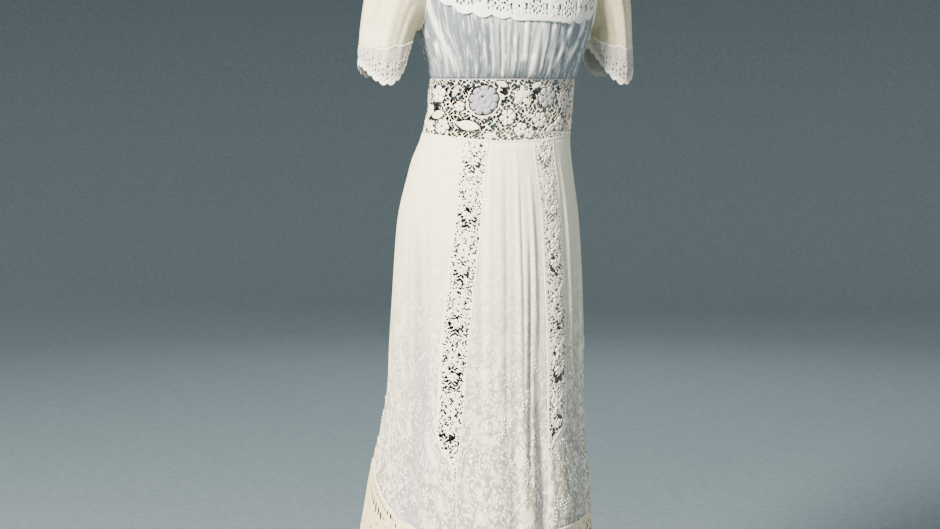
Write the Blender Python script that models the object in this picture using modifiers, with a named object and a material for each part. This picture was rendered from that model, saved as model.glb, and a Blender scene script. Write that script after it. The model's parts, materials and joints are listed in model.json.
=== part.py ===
"""Lace dress of white cotton voile, hollow, as it hangs on a general figure.

The front faces -Y, the wearer's left is +X and up is +Z. The origin lies
between the two neck points, where the shoulders carry the dress.
Angles run round the body: 0 is the front, 90 the wearer's left side.
"""

import math
from typing import NamedTuple

import bpy
from mathutils import Vector
from mathutils.geometry import delaunay_2d_cdt

# Cloth and seams, in metres
WALL = 0.0012
SEAM = 0.0004
BELT_SEAM = 0.0009
YOKE_LIFT = 0.0022
NORMAL_STEP = 0.04

# Heights of the horizontal seams
BELT_TOP = -0.302
BELT_FOOT_FRONT = -0.398
BELT_FOOT_BACK = -0.388
HEM = -1.400
HEM_SCALLOP = 0.006
FLOUNCE_DEEP = 0.450

# Angles of the upright seams, in degrees
SIDE_SEAM = 90.0
SIDE_BACK_SEAM = 100.0
CENTRE_BACK = 180.0

# Nominal radii that turn angles into lengths on a lace pattern
BELT_RADIUS = 0.100
BAND_RADIUS = 0.130
YOKE_RADIUS = 0.130
LEVEL_STEP = 0.035
CUFF_RADIUS = 0.045
FLOUNCE_RADIUS = 0.220


class Ring(NamedTuple):
    """A cross section of the skirt and belt at one height."""

    z: float
    half: float
    front: float
    back: float
    ridge: float
    shift: float


# Skirt sections: the widest line moves back as the skirt spreads
SKIRT_RINGS = (
    Ring(z=-0.302, half=0.1165, front=-0.0925, back=0.086, ridge=0.000, shift=-0.0015),
    Ring(z=-0.350, half=0.1165, front=-0.0880, back=0.084, ridge=0.000, shift=-0.0050),
    Ring(z=-0.396, half=0.1200, front=-0.0920, back=0.088, ridge=0.000, shift=-0.0120),
    Ring(z=-0.430, half=0.1280, front=-0.0970, back=0.110, ridge=0.012, shift=-0.0145),
    Ring(z=-0.470, half=0.1360, front=-0.1020, back=0.135, ridge=0.022, shift=-0.0145),
    Ring(z=-0.520, half=0.1445, front=-0.1050, back=0.152, ridge=0.030, shift=-0.0145),
    Ring(z=-0.580, half=0.1490, front=-0.1080, back=0.163, ridge=0.034, shift=-0.0140),
    Ring(z=-0.655, half=0.1525, front=-0.1100, back=0.172, ridge=0.038, shift=-0.0135),
    Ring(z=-0.730, half=0.1550, front=-0.1120, back=0.183, ridge=0.042, shift=-0.0140),
    Ring(z=-0.808, half=0.1555, front=-0.1160, back=0.200, ridge=0.050, shift=-0.0145),
    Ring(z=-0.885, half=0.1640, front=-0.1220, back=0.224, ridge=0.060, shift=-0.0160),
    Ring(z=-0.950, half=0.1755, front=-0.1290, back=0.248, ridge=0.070, shift=-0.0185),
    Ring(z=-1.020, half=0.1815, front=-0.1380, back=0.272, ridge=0.080, shift=-0.0210),
    Ring(z=-1.200, half=0.2040, front=-0.1640, back=0.326, ridge=0.100, shift=-0.0260),
    Ring(z=-1.410, half=0.2260, front=-0.1940, back=0.378, ridge=0.118, shift=-0.0310),
)


class Level(NamedTuple):
    """A bent cross section of the bodice, from the waist to the neckline."""

    level: float
    half: float
    front: float
    back: float
    z_front: float
    z_side: float
    z_back: float


# Bodice sections: the upper ones climb over the shoulders
BODICE_LEVELS = (
    Level(level=0.0, half=0.1170, front=-0.0930, back=0.0870, z_front=-0.3016, z_side=-0.3016, z_back=-0.3016),
    Level(level=0.5, half=0.1195, front=-0.1040, back=0.0890, z_front=-0.2900, z_side=-0.2880, z_back=-0.2860),
    Level(level=1.0, half=0.1235, front=-0.1110, back=0.0910, z_front=-0.2740, z_side=-0.2720, z_back=-0.2700),
    Level(level=2.0, half=0.1325, front=-0.1180, back=0.0940, z_front=-0.2440, z_side=-0.2490, z_back=-0.2420),
    Level(level=3.0, half=0.1400, front=-0.1220, back=0.0980, z_front=-0.2120, z_side=-0.2280, z_back=-0.2080),
    Level(level=4.0, half=0.1530, front=-0.1180, back=0.1000, z_front=-0.1660, z_side=-0.1640, z_back=-0.1550),
    Level(level=5.0, half=0.1660, front=-0.1080, back=0.0980, z_front=-0.1300, z_side=-0.0920, z_back=-0.1050),
    Level(level=6.0, half=0.1540, front=-0.0960, back=0.0860, z_front=-0.1050, z_side=-0.0400, z_back=-0.0650),
    Level(level=7.0, half=0.1120, front=-0.0850, back=0.0720, z_front=-0.0880, z_side=-0.0160, z_back=-0.0380),
    Level(level=8.0, half=0.0760, front=-0.0760, back=0.0620, z_front=-0.0780, z_side=0.0000, z_back=-0.0240),
)

# Armhole: an oval on the bodice, in degrees and levels, with its points round it
ARMHOLE_LEVEL = 4.45
ARMHOLE_RISE = 1.45
ARMHOLE_WIDTH = 28.0
ARMHOLE_POINTS = 24
ARMHOLE_INSET = 0.0021
ARMHOLE_RADIUS = 0.160
ARMHOLE_LEVEL_STEP = 0.055
ARMHOLE_CORNER = 5

# Yoke, in levels: its lower edge at the front, the edge's rise, lap and scallops
YOKE_LEVEL_FRONT = 3.10
YOKE_RISE = 1.125
YOKE_LAP = 0.35
YOKE_SCALLOP = 0.11
YOKE_SCALLOPS_QUARTER = 5
NECK_LEVEL = 8.0
NECK_POINTS = 15
SHOULDER_LEVEL = 6.9
YOKE_BACK_LEVELS = (4.2, 5.4, 6.6, 8.0)
YOKE_INNER_LEVELS = (4.0, 4.9, 5.9, 6.8, 7.5)
YOKE_INNER_STEP = 11

# Bodice gathers: waves round the front and back that fade at the yoke
FRONT_GATHERS = 26
BACK_GATHERS = 20
GATHER_DEPTH = 0.0020
GATHER_FADE = 3.0
GATHER_PLAIN = 20.0
BODICE_ROWS = 6
BODICE_FRONT_COLUMNS = 37
BODICE_BACK_COLUMNS = 15


class Edge(NamedTuple):
    """Where the flounce meets the skirt, at one angle round the body."""

    angle: float
    z: float


# The flounce rises towards the back, a little sooner on the right side
FLOUNCE_EDGE = (
    Edge(angle=-180.0, z=-0.875),
    Edge(angle=-120.0, z=-0.892),
    Edge(angle=-96.0, z=-0.922),
    Edge(angle=-78.0, z=-0.968),
    Edge(angle=-60.0, z=-1.002),
    Edge(angle=-35.0, z=-1.024),
    Edge(angle=0.0, z=-1.036),
    Edge(angle=60.0, z=-1.036),
    Edge(angle=78.0, z=-1.024),
    Edge(angle=96.0, z=-0.975),
    Edge(angle=120.0, z=-0.905),
    Edge(angle=180.0, z=-0.875),
)


class BandEdge(NamedTuple):
    """The two edges of a lace band at one share of the skirt's length."""

    share: float
    inner: float
    outer: float


# Lace bands let into the skirt, each closing on a seam near its foot
RIGHT_BAND = (
    BandEdge(share=0.000, inner=-18.5, outer=-38.0),
    BandEdge(share=0.195, inner=-20.0, outer=-38.0),
    BandEdge(share=0.345, inner=-24.0, outer=-42.0),
    BandEdge(share=0.477, inner=-27.0, outer=-44.5),
    BandEdge(share=0.617, inner=-29.5, outer=-46.0),
    BandEdge(share=0.727, inner=-31.0, outer=-46.5),
    BandEdge(share=0.765, inner=-31.3, outer=-43.0),
    BandEdge(share=0.800, inner=-31.5, outer=-35.5),
    BandEdge(share=0.829, inner=-31.5, outer=-31.5),
    BandEdge(share=1.000, inner=-29.0, outer=-29.0),
)
LEFT_BAND = (
    BandEdge(share=0.000, inner=16.0, outer=36.0),
    BandEdge(share=0.195, inner=18.5, outer=37.0),
    BandEdge(share=0.345, inner=19.0, outer=36.5),
    BandEdge(share=0.477, inner=20.0, outer=38.5),
    BandEdge(share=0.617, inner=20.5, outer=38.0),
    BandEdge(share=0.727, inner=20.0, outer=34.0),
    BandEdge(share=0.765, inner=19.8, outer=24.0),
    BandEdge(share=0.800, inner=19.5, outer=19.5),
    BandEdge(share=1.000, inner=18.0, outer=18.0),
)
FRONT_COLUMNS = 14
SIDE_COLUMNS = 13
BACK_COLUMNS = 17
SKIRT_SHARES = (0.0, 0.05, 0.12, 0.22, 0.345, 0.477, 0.617, 0.727, 0.765, 0.800, 0.829, 1.0)
RIGHT_BAND_FOOT = 0.800
LEFT_BAND_FOOT = 0.765


class Fold(NamedTuple):
    """A soft fold that drifts round the skirt; a trough has a depth below 0."""

    top_angle: float
    hem_angle: float
    spread: float
    depth: float
    start: float


# Main folds of the skirt, deeper and closer together at the back
FOLDS = (
    Fold(top_angle=-92.0, hem_angle=-84.0, spread=7.0, depth=0.0060, start=-0.480),
    Fold(top_angle=-64.0, hem_angle=-46.0, spread=6.0, depth=-0.0080, start=-0.520),
    Fold(top_angle=-52.0, hem_angle=-36.0, spread=5.0, depth=0.0050, start=-0.560),
    Fold(top_angle=-27.5, hem_angle=-28.0, spread=3.0, depth=-0.0060, start=-0.600),
    Fold(top_angle=-10.0, hem_angle=-12.0, spread=6.0, depth=0.0070, start=-0.440),
    Fold(top_angle=-2.0, hem_angle=0.0, spread=4.0, depth=-0.0050, start=-0.420),
    Fold(top_angle=6.0, hem_angle=8.0, spread=5.0, depth=0.0060, start=-0.450),
    Fold(top_angle=14.0, hem_angle=15.0, spread=4.0, depth=-0.0090, start=-0.480),
    Fold(top_angle=27.0, hem_angle=30.0, spread=7.0, depth=0.0060, start=-0.500),
    Fold(top_angle=46.0, hem_angle=50.0, spread=6.0, depth=-0.0080, start=-0.500),
    Fold(top_angle=62.0, hem_angle=66.0, spread=7.0, depth=0.0070, start=-0.460),
    Fold(top_angle=84.0, hem_angle=88.0, spread=6.0, depth=-0.0060, start=-0.520),
    Fold(top_angle=103.0, hem_angle=106.0, spread=6.0, depth=0.0100, start=-0.440),
    Fold(top_angle=118.0, hem_angle=122.0, spread=5.0, depth=-0.0110, start=-0.430),
    Fold(top_angle=133.0, hem_angle=138.0, spread=6.0, depth=0.0130, start=-0.420),
    Fold(top_angle=148.0, hem_angle=152.0, spread=5.0, depth=-0.0130, start=-0.420),
    Fold(top_angle=163.0, hem_angle=166.0, spread=6.0, depth=0.0150, start=-0.410),
    Fold(top_angle=-103.0, hem_angle=-108.0, spread=5.0, depth=-0.0090, start=-0.440),
    Fold(top_angle=-119.0, hem_angle=-124.0, spread=6.0, depth=0.0120, start=-0.430),
    Fold(top_angle=-134.0, hem_angle=-139.0, spread=5.0, depth=-0.0130, start=-0.420),
    Fold(top_angle=-149.0, hem_angle=-153.0, spread=6.0, depth=0.0140, start=-0.420),
    Fold(top_angle=-165.0, hem_angle=-167.0, spread=5.0, depth=-0.0140, start=-0.410),
)

# Sleeve hem: an oval round a point out from the body, dipping at front and back
SLEEVE_OUT_LEFT = 0.1830
SLEEVE_OUT_RIGHT = 0.1915
SLEEVE_SET_BACK = 0.016
SLEEVE_HALF_WIDTH = 0.0370
SLEEVE_HALF_DEPTH = 0.0550
SLEEVE_HEM_MEAN = -0.2873
SLEEVE_HEM_OUTER = -0.0145
SLEEVE_HEM_POINTS = 0.0188
SLEEVE_HEM_FRONT = -0.0060
SLEEVE_HEAD = 0.30
SLEEVE_HEAD_MOST = 0.038
SLEEVE_HANG = 0.35
SLEEVE_SHARES = (0.0, 0.14, 0.36, 0.66, 1.0)


class CuffWidth(NamedTuple):
    """Width of the lace cuff at one angle round the arm; 0 is outermost."""

    angle: float
    width: float


CUFF_WIDTHS = (
    CuffWidth(angle=0.0, width=0.024),
    CuffWidth(angle=45.0, width=0.042),
    CuffWidth(angle=90.0, width=0.054),
    CuffWidth(angle=135.0, width=0.034),
    CuffWidth(angle=180.0, width=0.012),
    CuffWidth(angle=225.0, width=0.030),
    CuffWidth(angle=270.0, width=0.046),
    CuffWidth(angle=315.0, width=0.036),
    CuffWidth(angle=360.0, width=0.024),
)
CUFF_PICOT = 0.0022
CUFF_PICOTS = 12
CUFF_TALL = 0.040
CUFF_SHARE_MOST = 0.55
CUFF_GAPS = 5
CUFF_GAP_ROOM = 0.028


class Motif(NamedTuple):
    """A closed flower or leaf on the belt lace that keeps the gaps away."""

    along: float
    up: float
    radius: float


# Belt pattern, measured along the belt from the middle front
BELT_MOTIFS = (
    Motif(along=-0.120, up=0.068, radius=0.016),
    Motif(along=-0.104, up=0.026, radius=0.017),
    Motif(along=-0.060, up=0.026, radius=0.019),
    Motif(along=-0.040, up=0.066, radius=0.021),
    Motif(along=-0.012, up=0.026, radius=0.016),
    Motif(along=0.008, up=0.068, radius=0.016),
    Motif(along=0.036, up=0.028, radius=0.016),
    Motif(along=0.056, up=0.066, radius=0.017),
    Motif(along=0.084, up=0.026, radius=0.018),
    Motif(along=0.108, up=0.068, radius=0.016),
    Motif(along=0.136, up=0.030, radius=0.017),
)
BELT_HEIGHT = BELT_TOP - BELT_FOOT_BACK
BELT_FRONT_POINTS = 25
BELT_BACK_POINTS = 13
BELT_PITCH = 0.0180
BELT_GAP = 0.0050
BELT_MARGIN = 0.0085

# Gaps in the other laces
BAND_ROWS = 16
BAND_FIRST = 0.030
BAND_STEP = 0.0465
BAND_MARGIN = 0.0105
BAND_LENGTH = 0.640
BAND_GAP = 0.0036
YOKE_GAP = 0.0030
YOKE_GAPS = 48
YOKE_GAP_LEVELS = (0.95, 0.42)
CUFF_GAP = 0.0030
FLOUNCE_GAP = 0.0055
FLOUNCE_GAPS_QUARTER = 9
FLOUNCE_GAP_ROWS = (0.14, 0.62)
FLOUNCE_SEAM_RADIUS = 0.250
FLOUNCE_SIDE_SHARES = (0.25, 0.50, 0.75)
FLOUNCE_INNER_SHARES = (0.38, 0.80)

CREAM = (0.86, 0.83, 0.74, 1.0)
WHITE = (0.90, 0.90, 0.86, 1.0)
VOILE = (0.62, 0.66, 0.70, 1.0)
YELLOW_LACE = (0.84, 0.78, 0.62, 1.0)


def smooth_row(rows: tuple, key: float) -> tuple:
    """Return the row at a key between two table rows, on a smooth curve."""
    keys = [row[0] for row in rows]
    rising = keys[-1] > keys[0]
    last = len(rows) - 1
    low = 0
    while low < last - 1 and (key > keys[low + 1]) == rising and key != keys[low + 1]:
        low += 1
    span = keys[low + 1] - keys[low]
    t = min(max((key - keys[low]) / span, 0.0), 1.0)
    values = []
    for column in range(1, len(rows[0])):
        here = rows[low][column]
        there = rows[low + 1][column]
        slope = (there - here) / span
        before = slope
        after = slope
        if low > 0:
            before = (there - rows[low - 1][column]) / (keys[low + 1] - keys[low - 1])
        if low + 2 <= last:
            after = (rows[low + 2][column] - here) / (keys[low + 2] - keys[low])
        curve = (2 * t ** 3 - 3 * t ** 2 + 1) * here + (3 * t ** 2 - 2 * t ** 3) * there
        curve += (t ** 3 - 2 * t ** 2 + t) * span * before + (t ** 3 - t ** 2) * span * after
        values.append(curve)
    return (key, *values)


def straight_row(rows: tuple, key: float) -> tuple:
    """Return the row at a key between two table rows, on a straight line."""
    for here, there in zip(rows, rows[1:]):
        if here[0] <= key <= there[0]:
            t = (key - here[0]) / (there[0] - here[0])
            return tuple(a + (b - a) * t for a, b in zip(here, there))
    return tuple(rows[-1] if key > rows[-1][0] else rows[0])


def fold_height(angle: float, z: float) -> float:
    """Return how far the folds move the skirt out at an angle and height."""
    out = 0.0
    for fold in FOLDS:
        grown = (fold.start - z) / (fold.start - HEM)
        if grown <= 0.0:
            continue
        middle = fold.top_angle + (fold.hem_angle - fold.top_angle) * grown
        away = (angle - middle + 180.0) % 360.0 - 180.0
        out += fold.depth * grown ** 0.7 * math.exp(-((away / fold.spread) ** 2))
    return out


def skirt_point(angle: float, z: float) -> Vector:
    """Return the point on the belt or skirt at an angle and a height."""
    ring = Ring(*smooth_row(SKIRT_RINGS, z))
    turn = math.radians(angle)
    side = math.sin(turn)
    ahead = math.cos(turn)
    depth = ring.ridge - ring.front if ahead > 0 else ring.back - ring.ridge
    across = Vector((side * depth, -ahead * ring.half, 0.0)).normalized()
    spot = Vector((ring.shift + ring.half * side, ring.ridge - depth * ahead, z))
    return spot + across * fold_height(angle, z)


def gather_height(angle: float, level: float) -> float:
    """Return how far the gathers move the bodice out."""
    if level >= GATHER_FADE:
        return 0.0
    count = FRONT_GATHERS if abs(angle) <= SIDE_SEAM else BACK_GATHERS
    rise = math.sin(math.pi * min(level / GATHER_FADE, 1.0)) ** 0.5
    wave = math.cos(2 * math.pi * count * (abs(angle) % SIDE_SEAM) / CENTRE_BACK)
    from_side = abs(abs(angle) - SIDE_SEAM)
    ends = min(from_side / GATHER_PLAIN, (SIDE_SEAM - from_side) / GATHER_PLAIN + 0.3, 1.0)
    return GATHER_DEPTH * rise * wave * ends


def bodice_base(angle: float, level: float) -> Vector:
    """Return the point on the bodice at an angle and a level."""
    row = Level(*smooth_row(BODICE_LEVELS, level))
    turn = math.radians(angle)
    side = math.sin(turn)
    ahead = math.cos(turn)
    depth = -row.front if ahead > 0 else row.back
    z_end = row.z_front if ahead > 0 else row.z_back
    across = Vector((side * depth, -ahead * row.half, 0.0)).normalized()
    spot = Vector((row.half * side, -depth * ahead, row.z_side + (z_end - row.z_side) * ahead ** 2))
    return spot + across * gather_height(angle, level)


def outward(surface, angle: float, along: float, step: float) -> Vector:
    """Return the outward normal of a surface function."""
    round_it = surface(angle + 0.5, along) - surface(angle - 0.5, along)
    up_it = surface(angle, along + step) - surface(angle, along - step)
    return round_it.cross(up_it).normalized()


def bodice_point(angle: float, level: float, lift: float = 0.0) -> Vector:
    """Return a point on the bodice, moved out by a lift."""
    spot = bodice_base(angle, level)
    if lift:
        below = min(level, NECK_LEVEL - NORMAL_STEP)
        spot = spot + outward(bodice_base, angle, below, NORMAL_STEP) * lift
    return spot


def turned(surface, angle: float, along: float, gap: float) -> float:
    """Return an angle moved round by a gap in metres."""
    speed = (surface(angle + 0.5, along) - surface(angle - 0.5, along)).length
    return angle + gap / speed


def belt_foot(angle: float) -> float:
    """Return the height of the belt's lower edge, which dips at the front."""
    ahead = max(math.cos(math.radians(angle)), 0.0)
    return BELT_FOOT_BACK + (BELT_FOOT_FRONT - BELT_FOOT_BACK) * ahead ** 2


def flounce_top(angle: float) -> float:
    """Return the height of the seam between skirt and flounce."""
    return Edge(*smooth_row(FLOUNCE_EDGE, angle)).z


def gore_point(angle: float, share: float) -> Vector:
    """Return a point on the skirt between the belt and the flounce."""
    top = belt_foot(angle) - BELT_SEAM
    return skirt_point(angle, top + (flounce_top(angle) - top) * share)


def flounce_point(angle: float, share: float) -> Vector:
    """Return a point on the flounce, from its seam down to the hem."""
    top = flounce_top(angle) - SEAM
    return skirt_point(angle, top + (HEM - top) * share)


def armhole_spot(turn: float, side: int, inset: float = 0.0) -> tuple:
    """Return the angle and level of a point on the armhole's edge.

    Args:
        turn: degrees round the armhole, from its top to its front.
        side: 1 for the wearer's left, -1 for the right.
        inset: metres towards the armhole's middle.
    """
    wide = ARMHOLE_WIDTH - math.degrees(inset / ARMHOLE_RADIUS)
    rise = ARMHOLE_RISE - inset / ARMHOLE_LEVEL_STEP
    angle = SIDE_SEAM - wide * math.sin(math.radians(turn))
    return side * angle, ARMHOLE_LEVEL + rise * math.cos(math.radians(turn))


def sleeve_hem(turn: float, side: int) -> Vector:
    """Return a point on the sleeve's hem, which dips at front and back."""
    ahead = math.radians(turn)
    z = SLEEVE_HEM_MEAN + SLEEVE_HEM_OUTER * math.cos(ahead)
    z += SLEEVE_HEM_POINTS * math.cos(2 * ahead) + SLEEVE_HEM_FRONT * math.sin(ahead)
    x = (SLEEVE_OUT_LEFT if side > 0 else SLEEVE_OUT_RIGHT) + SLEEVE_HALF_WIDTH * math.cos(ahead)
    return Vector((side * x, SLEEVE_SET_BACK - SLEEVE_HALF_DEPTH * math.sin(ahead), z))


def sleeve_point(turn: float, share: float, side: int) -> Vector:
    """Return a point on the sleeve, from the armhole to the hem."""
    angle, level = armhole_spot(turn, side, ARMHOLE_INSET)
    start = bodice_base(angle, level)
    end = sleeve_hem(turn, side)
    length = (end - start).length
    reach = min(SLEEVE_HEAD * length, SLEEVE_HEAD_MOST)
    out = start + outward(bodice_base, angle, level, NORMAL_STEP) * reach
    above = end + Vector((0.0, 0.0, SLEEVE_HANG * length))
    keep = 1.0 - share
    curve = start * keep ** 3 + out * (3 * keep ** 2 * share)
    return curve + above * (3 * keep * share ** 2) + end * share ** 3


def cuff_top(turn: float, side: int) -> float:
    """Return the share of the sleeve's length where the cuff begins."""
    width = CuffWidth(*straight_row(CUFF_WIDTHS, turn % 360.0)).width
    stops = [sleeve_point(turn, share, side) for share in spread(0.0, 1.0, 9)]
    length = sum((there - here).length for here, there in zip(stops, stops[1:]))
    return 1.0 - min(width / length, CUFF_SHARE_MOST)


def new_mesh(name: str, points: list, faces: list, wall: float, colour: tuple) -> None:
    """Make a closed piece of cloth from an open surface.

    Args:
        name: the piece's name.
        points: corners of the inner surface.
        faces: corner numbers, anticlockwise from outside.
        wall: thickness of the cloth, which goes outwards.
        colour: base colour of the cloth.
    """
    mesh = bpy.data.meshes.new(name)
    mesh.from_pydata([tuple(point) for point in points], [], faces)
    mesh.update()
    mesh.shade_smooth()
    piece = bpy.data.objects.new(name, mesh)
    bpy.data.collections["lace_dress"].objects.link(piece)
    skin = bpy.data.materials.new(name)
    skin.use_nodes = True
    shader = skin.node_tree.nodes["Principled BSDF"]
    shader.inputs["Base Color"].default_value = colour
    shader.inputs["Roughness"].default_value = 0.85
    shader.inputs["Metallic"].default_value = 0.0
    mesh.materials.append(skin)
    cloth = piece.modifiers.new("cloth", "SOLIDIFY")
    cloth.thickness = wall
    cloth.offset = 1.0
    cloth.use_rim = True


def grid_piece(name: str, columns: list, wall: float, colour: tuple, closed: bool = False) -> None:
    """Make a piece from columns of points that run from bottom to top."""
    rows = len(columns[0])
    points = [point for column in columns for point in column]
    faces = []
    count = len(columns)
    for across in range(count if closed else count - 1):
        here = across * rows
        there = (across + 1) % count * rows
        for up in range(rows - 1):
            faces.append((here + up, there + up, there + up + 1, here + up + 1))
    new_mesh(name, points, faces, wall, colour)


def lace_piece(name: str, outline: list, gaps: list, inner: list, surface, wall: float, colour: tuple) -> None:
    """Make a piece of lace with its gaps cut through.

    Args:
        name: the piece's name.
        outline: flat outline, anticlockwise from outside.
        gaps: flat outlines of the gaps.
        inner: flat points inside that keep the lace round.
        surface: function from a flat point to a point in space.
        wall: thickness of the lace.
        colour: base colour of the lace.
    """
    flat = [Vector(point) for point in outline]
    loops = [list(range(len(flat)))]
    for gap in gaps:
        loops.append(list(range(len(flat), len(flat) + len(gap))))
        flat.extend(Vector(point) for point in gap)
    clear = [point for point in inner if not near_gap(point, gaps)]
    flat.extend(Vector(point) for point in clear)
    points, _, faces, _, _, owners = delaunay_2d_cdt(flat, [], loops, 1, 1e-7)
    kept = [tuple(face) for face, owner in zip(faces, owners) if list(owner) == [0]]
    used = sorted({corner for face in kept for corner in face})
    place = {corner: number for number, corner in enumerate(used)}
    solid = [surface(points[corner][0], points[corner][1]) for corner in used]
    new_mesh(name, solid, [tuple(place[corner] for corner in face) for face in kept], wall, colour)


def near_gap(point: tuple, gaps: list) -> bool:
    """Tell whether a flat point lies in a gap or too close to one."""
    for gap in gaps:
        middle_x = sum(corner[0] for corner in gap) / len(gap)
        middle_y = sum(corner[1] for corner in gap) / len(gap)
        reach = max(math.dist(corner, (middle_x, middle_y)) for corner in gap)
        if math.dist(point, (middle_x, middle_y)) < reach + 0.0015:
            return True
    return False


def diamond(x: float, y: float, half_width: float, half_height: float) -> list:
    """Return a flat diamond."""
    return [(x - half_width, y), (x, y - half_height), (x + half_width, y), (x, y + half_height)]


def spread(first: float, last: float, count: int) -> list:
    """Return evenly spaced values, both ends included."""
    return [first + (last - first) * number / (count - 1) for number in range(count)]


def bodice_top(angle: float) -> float:
    """Return the level of the bodice's upper edge under the yoke."""
    share = min(abs(angle), CENTRE_BACK - abs(angle)) / SIDE_SEAM
    return YOKE_LEVEL_FRONT + YOKE_LAP + YOKE_RISE * share ** 2


def yoke_foot(angle: float) -> float:
    """Return the level of the yoke's lower edge without its scallops."""
    return bodice_top(angle) - YOKE_LAP


def armhole_turns(first: int, last: int) -> list:
    """Return the turns of the armhole's points from one number to another."""
    step = 1 if last >= first else -1
    return [360.0 / ARMHOLE_POINTS * number for number in range(first, last + step, step)]


def make_bodice() -> None:
    """Make the gathered front and the two halves of the back."""
    low = ARMHOLE_POINTS // 2
    side_front = [armhole_spot(turn, 1) for turn in armhole_turns(low - ARMHOLE_CORNER, low)]
    inner_front = spread(-side_front[0][0], side_front[0][0], BODICE_FRONT_COLUMNS)[1:-1]
    front = [(-angle, level) for angle, level in reversed(side_front)]
    front += [(angle, bodice_top(angle)) for angle in inner_front] + side_front
    side_back = [armhole_spot(turn, 1) for turn in armhole_turns(low, low + ARMHOLE_CORNER)]
    inner_back = spread(side_back[-1][0], CENTRE_BACK, BODICE_BACK_COLUMNS)[1:]
    back = side_back + [(angle, bodice_top(angle)) for angle in inner_back]
    mirrored = [(-angle, level) for angle, level in reversed(back)]
    for name, edge in (("bodice_front", front), ("bodice_back_left", back), ("bodice_back_right", mirrored)):
        columns = []
        for number, (angle, top) in enumerate(edge):
            gap = SEAM / 2 if number == 0 else -SEAM / 2 if number == len(edge) - 1 else 0.0
            column = []
            for share in spread(0.0, 1.0, BODICE_ROWS):
                level = top * share
                place = turned(bodice_base, angle, level, gap) if gap else angle
                column.append(bodice_point(place, level))
            columns.append(column)
        grid_piece(name, columns, WALL, VOILE)


def yoke_surface(x: float, y: float) -> Vector:
    """Return the point in space of a flat point on the yoke."""
    return bodice_point(math.degrees(x / YOKE_RADIUS), y / LEVEL_STEP, YOKE_LIFT)


def make_yoke() -> None:
    """Make the lace yoke, open at the centre back and scalloped below."""
    low = ARMHOLE_POINTS // 2
    corner = ARMHOLE_CORNER - 1
    arm_front = [armhole_spot(turn, 1) for turn in armhole_turns(low - corner, 0)][:-1]
    arm_back = [armhole_spot(turn, 1) for turn in armhole_turns(low + corner, ARMHOLE_POINTS)][:-1]
    seam = math.degrees(SEAM / 2 / YOKE_RADIUS)
    shoulder_levels = (ARMHOLE_LEVEL + ARMHOLE_RISE, SHOULDER_LEVEL, NECK_LEVEL)
    shoulder = [(SIDE_SEAM - seam, level) for level in shoulder_levels]
    right = arm_front + shoulder
    foot = scallop_edge(-arm_front[0][0], arm_front[0][0], 2 * YOKE_SCALLOPS_QUARTER)
    neck = [(angle, NECK_LEVEL) for angle in spread(shoulder[-1][0], -shoulder[-1][0], NECK_POINTS)[1:-1]]
    left = [(-angle, level) for angle, level in reversed(right)]
    front = foot[1:-1] + right + neck + left
    behind = [(SIDE_SEAM + seam, level) for level in reversed(shoulder_levels)]
    arm_down = list(reversed(arm_back))
    foot_back = scallop_edge(arm_back[0][0], CENTRE_BACK - seam, YOKE_SCALLOPS_QUARTER)
    middle = [(CENTRE_BACK - seam, level) for level in YOKE_BACK_LEVELS]
    neck_line = spread(CENTRE_BACK - seam, SIDE_SEAM + seam, NECK_POINTS // 2 + 1)
    neck_back = [(angle, NECK_LEVEL) for angle in neck_line[1:-1]]
    back = behind + arm_down + foot_back[1:] + middle + neck_back
    flipped = [(-angle, level) for angle, level in reversed(back)]
    for name, edge in (("yoke_front", front), ("yoke_back_left", back), ("yoke_back_right", flipped)):
        outline = [(math.radians(angle) * YOKE_RADIUS, level * LEVEL_STEP) for angle, level in edge]
        gaps = [gap for gap in yoke_gaps() if inside(gap, outline)]
        inner = [
            (math.radians(angle) * YOKE_RADIUS, level * LEVEL_STEP)
            for angle in range(-176, 180, YOKE_INNER_STEP) for level in YOKE_INNER_LEVELS
        ]
        inner = [point for point in inner if within(point, outline) and edge_distance(point, outline) > 0.004]
        lace_piece(name, outline, gaps, inner, yoke_surface, WALL, WHITE)


def yoke_gaps() -> list:
    """Return two staggered rows of gaps all round the yoke."""
    gaps = []
    for number in range(YOKE_GAPS):
        angle = -CENTRE_BACK + 2 * CENTRE_BACK * (number + 0.5) / YOKE_GAPS
        level = yoke_foot(angle) + YOKE_GAP_LEVELS[number % 2]
        gaps.append(diamond(math.radians(angle) * YOKE_RADIUS, level * LEVEL_STEP, YOKE_GAP, YOKE_GAP))
    return gaps


def scallop_edge(first: float, last: float, count: int) -> list:
    """Return the yoke's lower edge with its scallops, as angles and levels."""
    edge = []
    for number, angle in enumerate(spread(first, last, 4 * count + 1)):
        dip = abs(math.sin(math.pi * number / 4)) * YOKE_SCALLOP
        edge.append((angle, yoke_foot(angle) - dip))
    return edge


def within(point: tuple, outline: list) -> bool:
    """Tell whether a flat point lies inside an outline."""
    odd = False
    for here, there in zip(outline, outline[1:] + outline[:1]):
        if (here[1] > point[1]) != (there[1] > point[1]):
            cross = here[0] + (point[1] - here[1]) * (there[0] - here[0]) / (there[1] - here[1])
            odd ^= point[0] < cross
    return odd


def edge_distance(point: tuple, outline: list) -> float:
    """Return the distance from a flat point to the nearest edge."""
    nearest = 1.0
    for here, there in zip(outline, outline[1:] + outline[:1]):
        run = (there[0] - here[0], there[1] - here[1])
        size = run[0] ** 2 + run[1] ** 2
        share = ((point[0] - here[0]) * run[0] + (point[1] - here[1]) * run[1]) / size if size else 0.0
        share = min(max(share, 0.0), 1.0)
        nearest = min(nearest, math.dist(point, (here[0] + run[0] * share, here[1] + run[1] * share)))
    return nearest


def inside(gap: list, outline: list, margin: float = 0.0025) -> bool:
    """Tell whether a gap lies inside an outline with a margin."""
    return all(within(corner, outline) and edge_distance(corner, outline) > margin for corner in gap)


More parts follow.
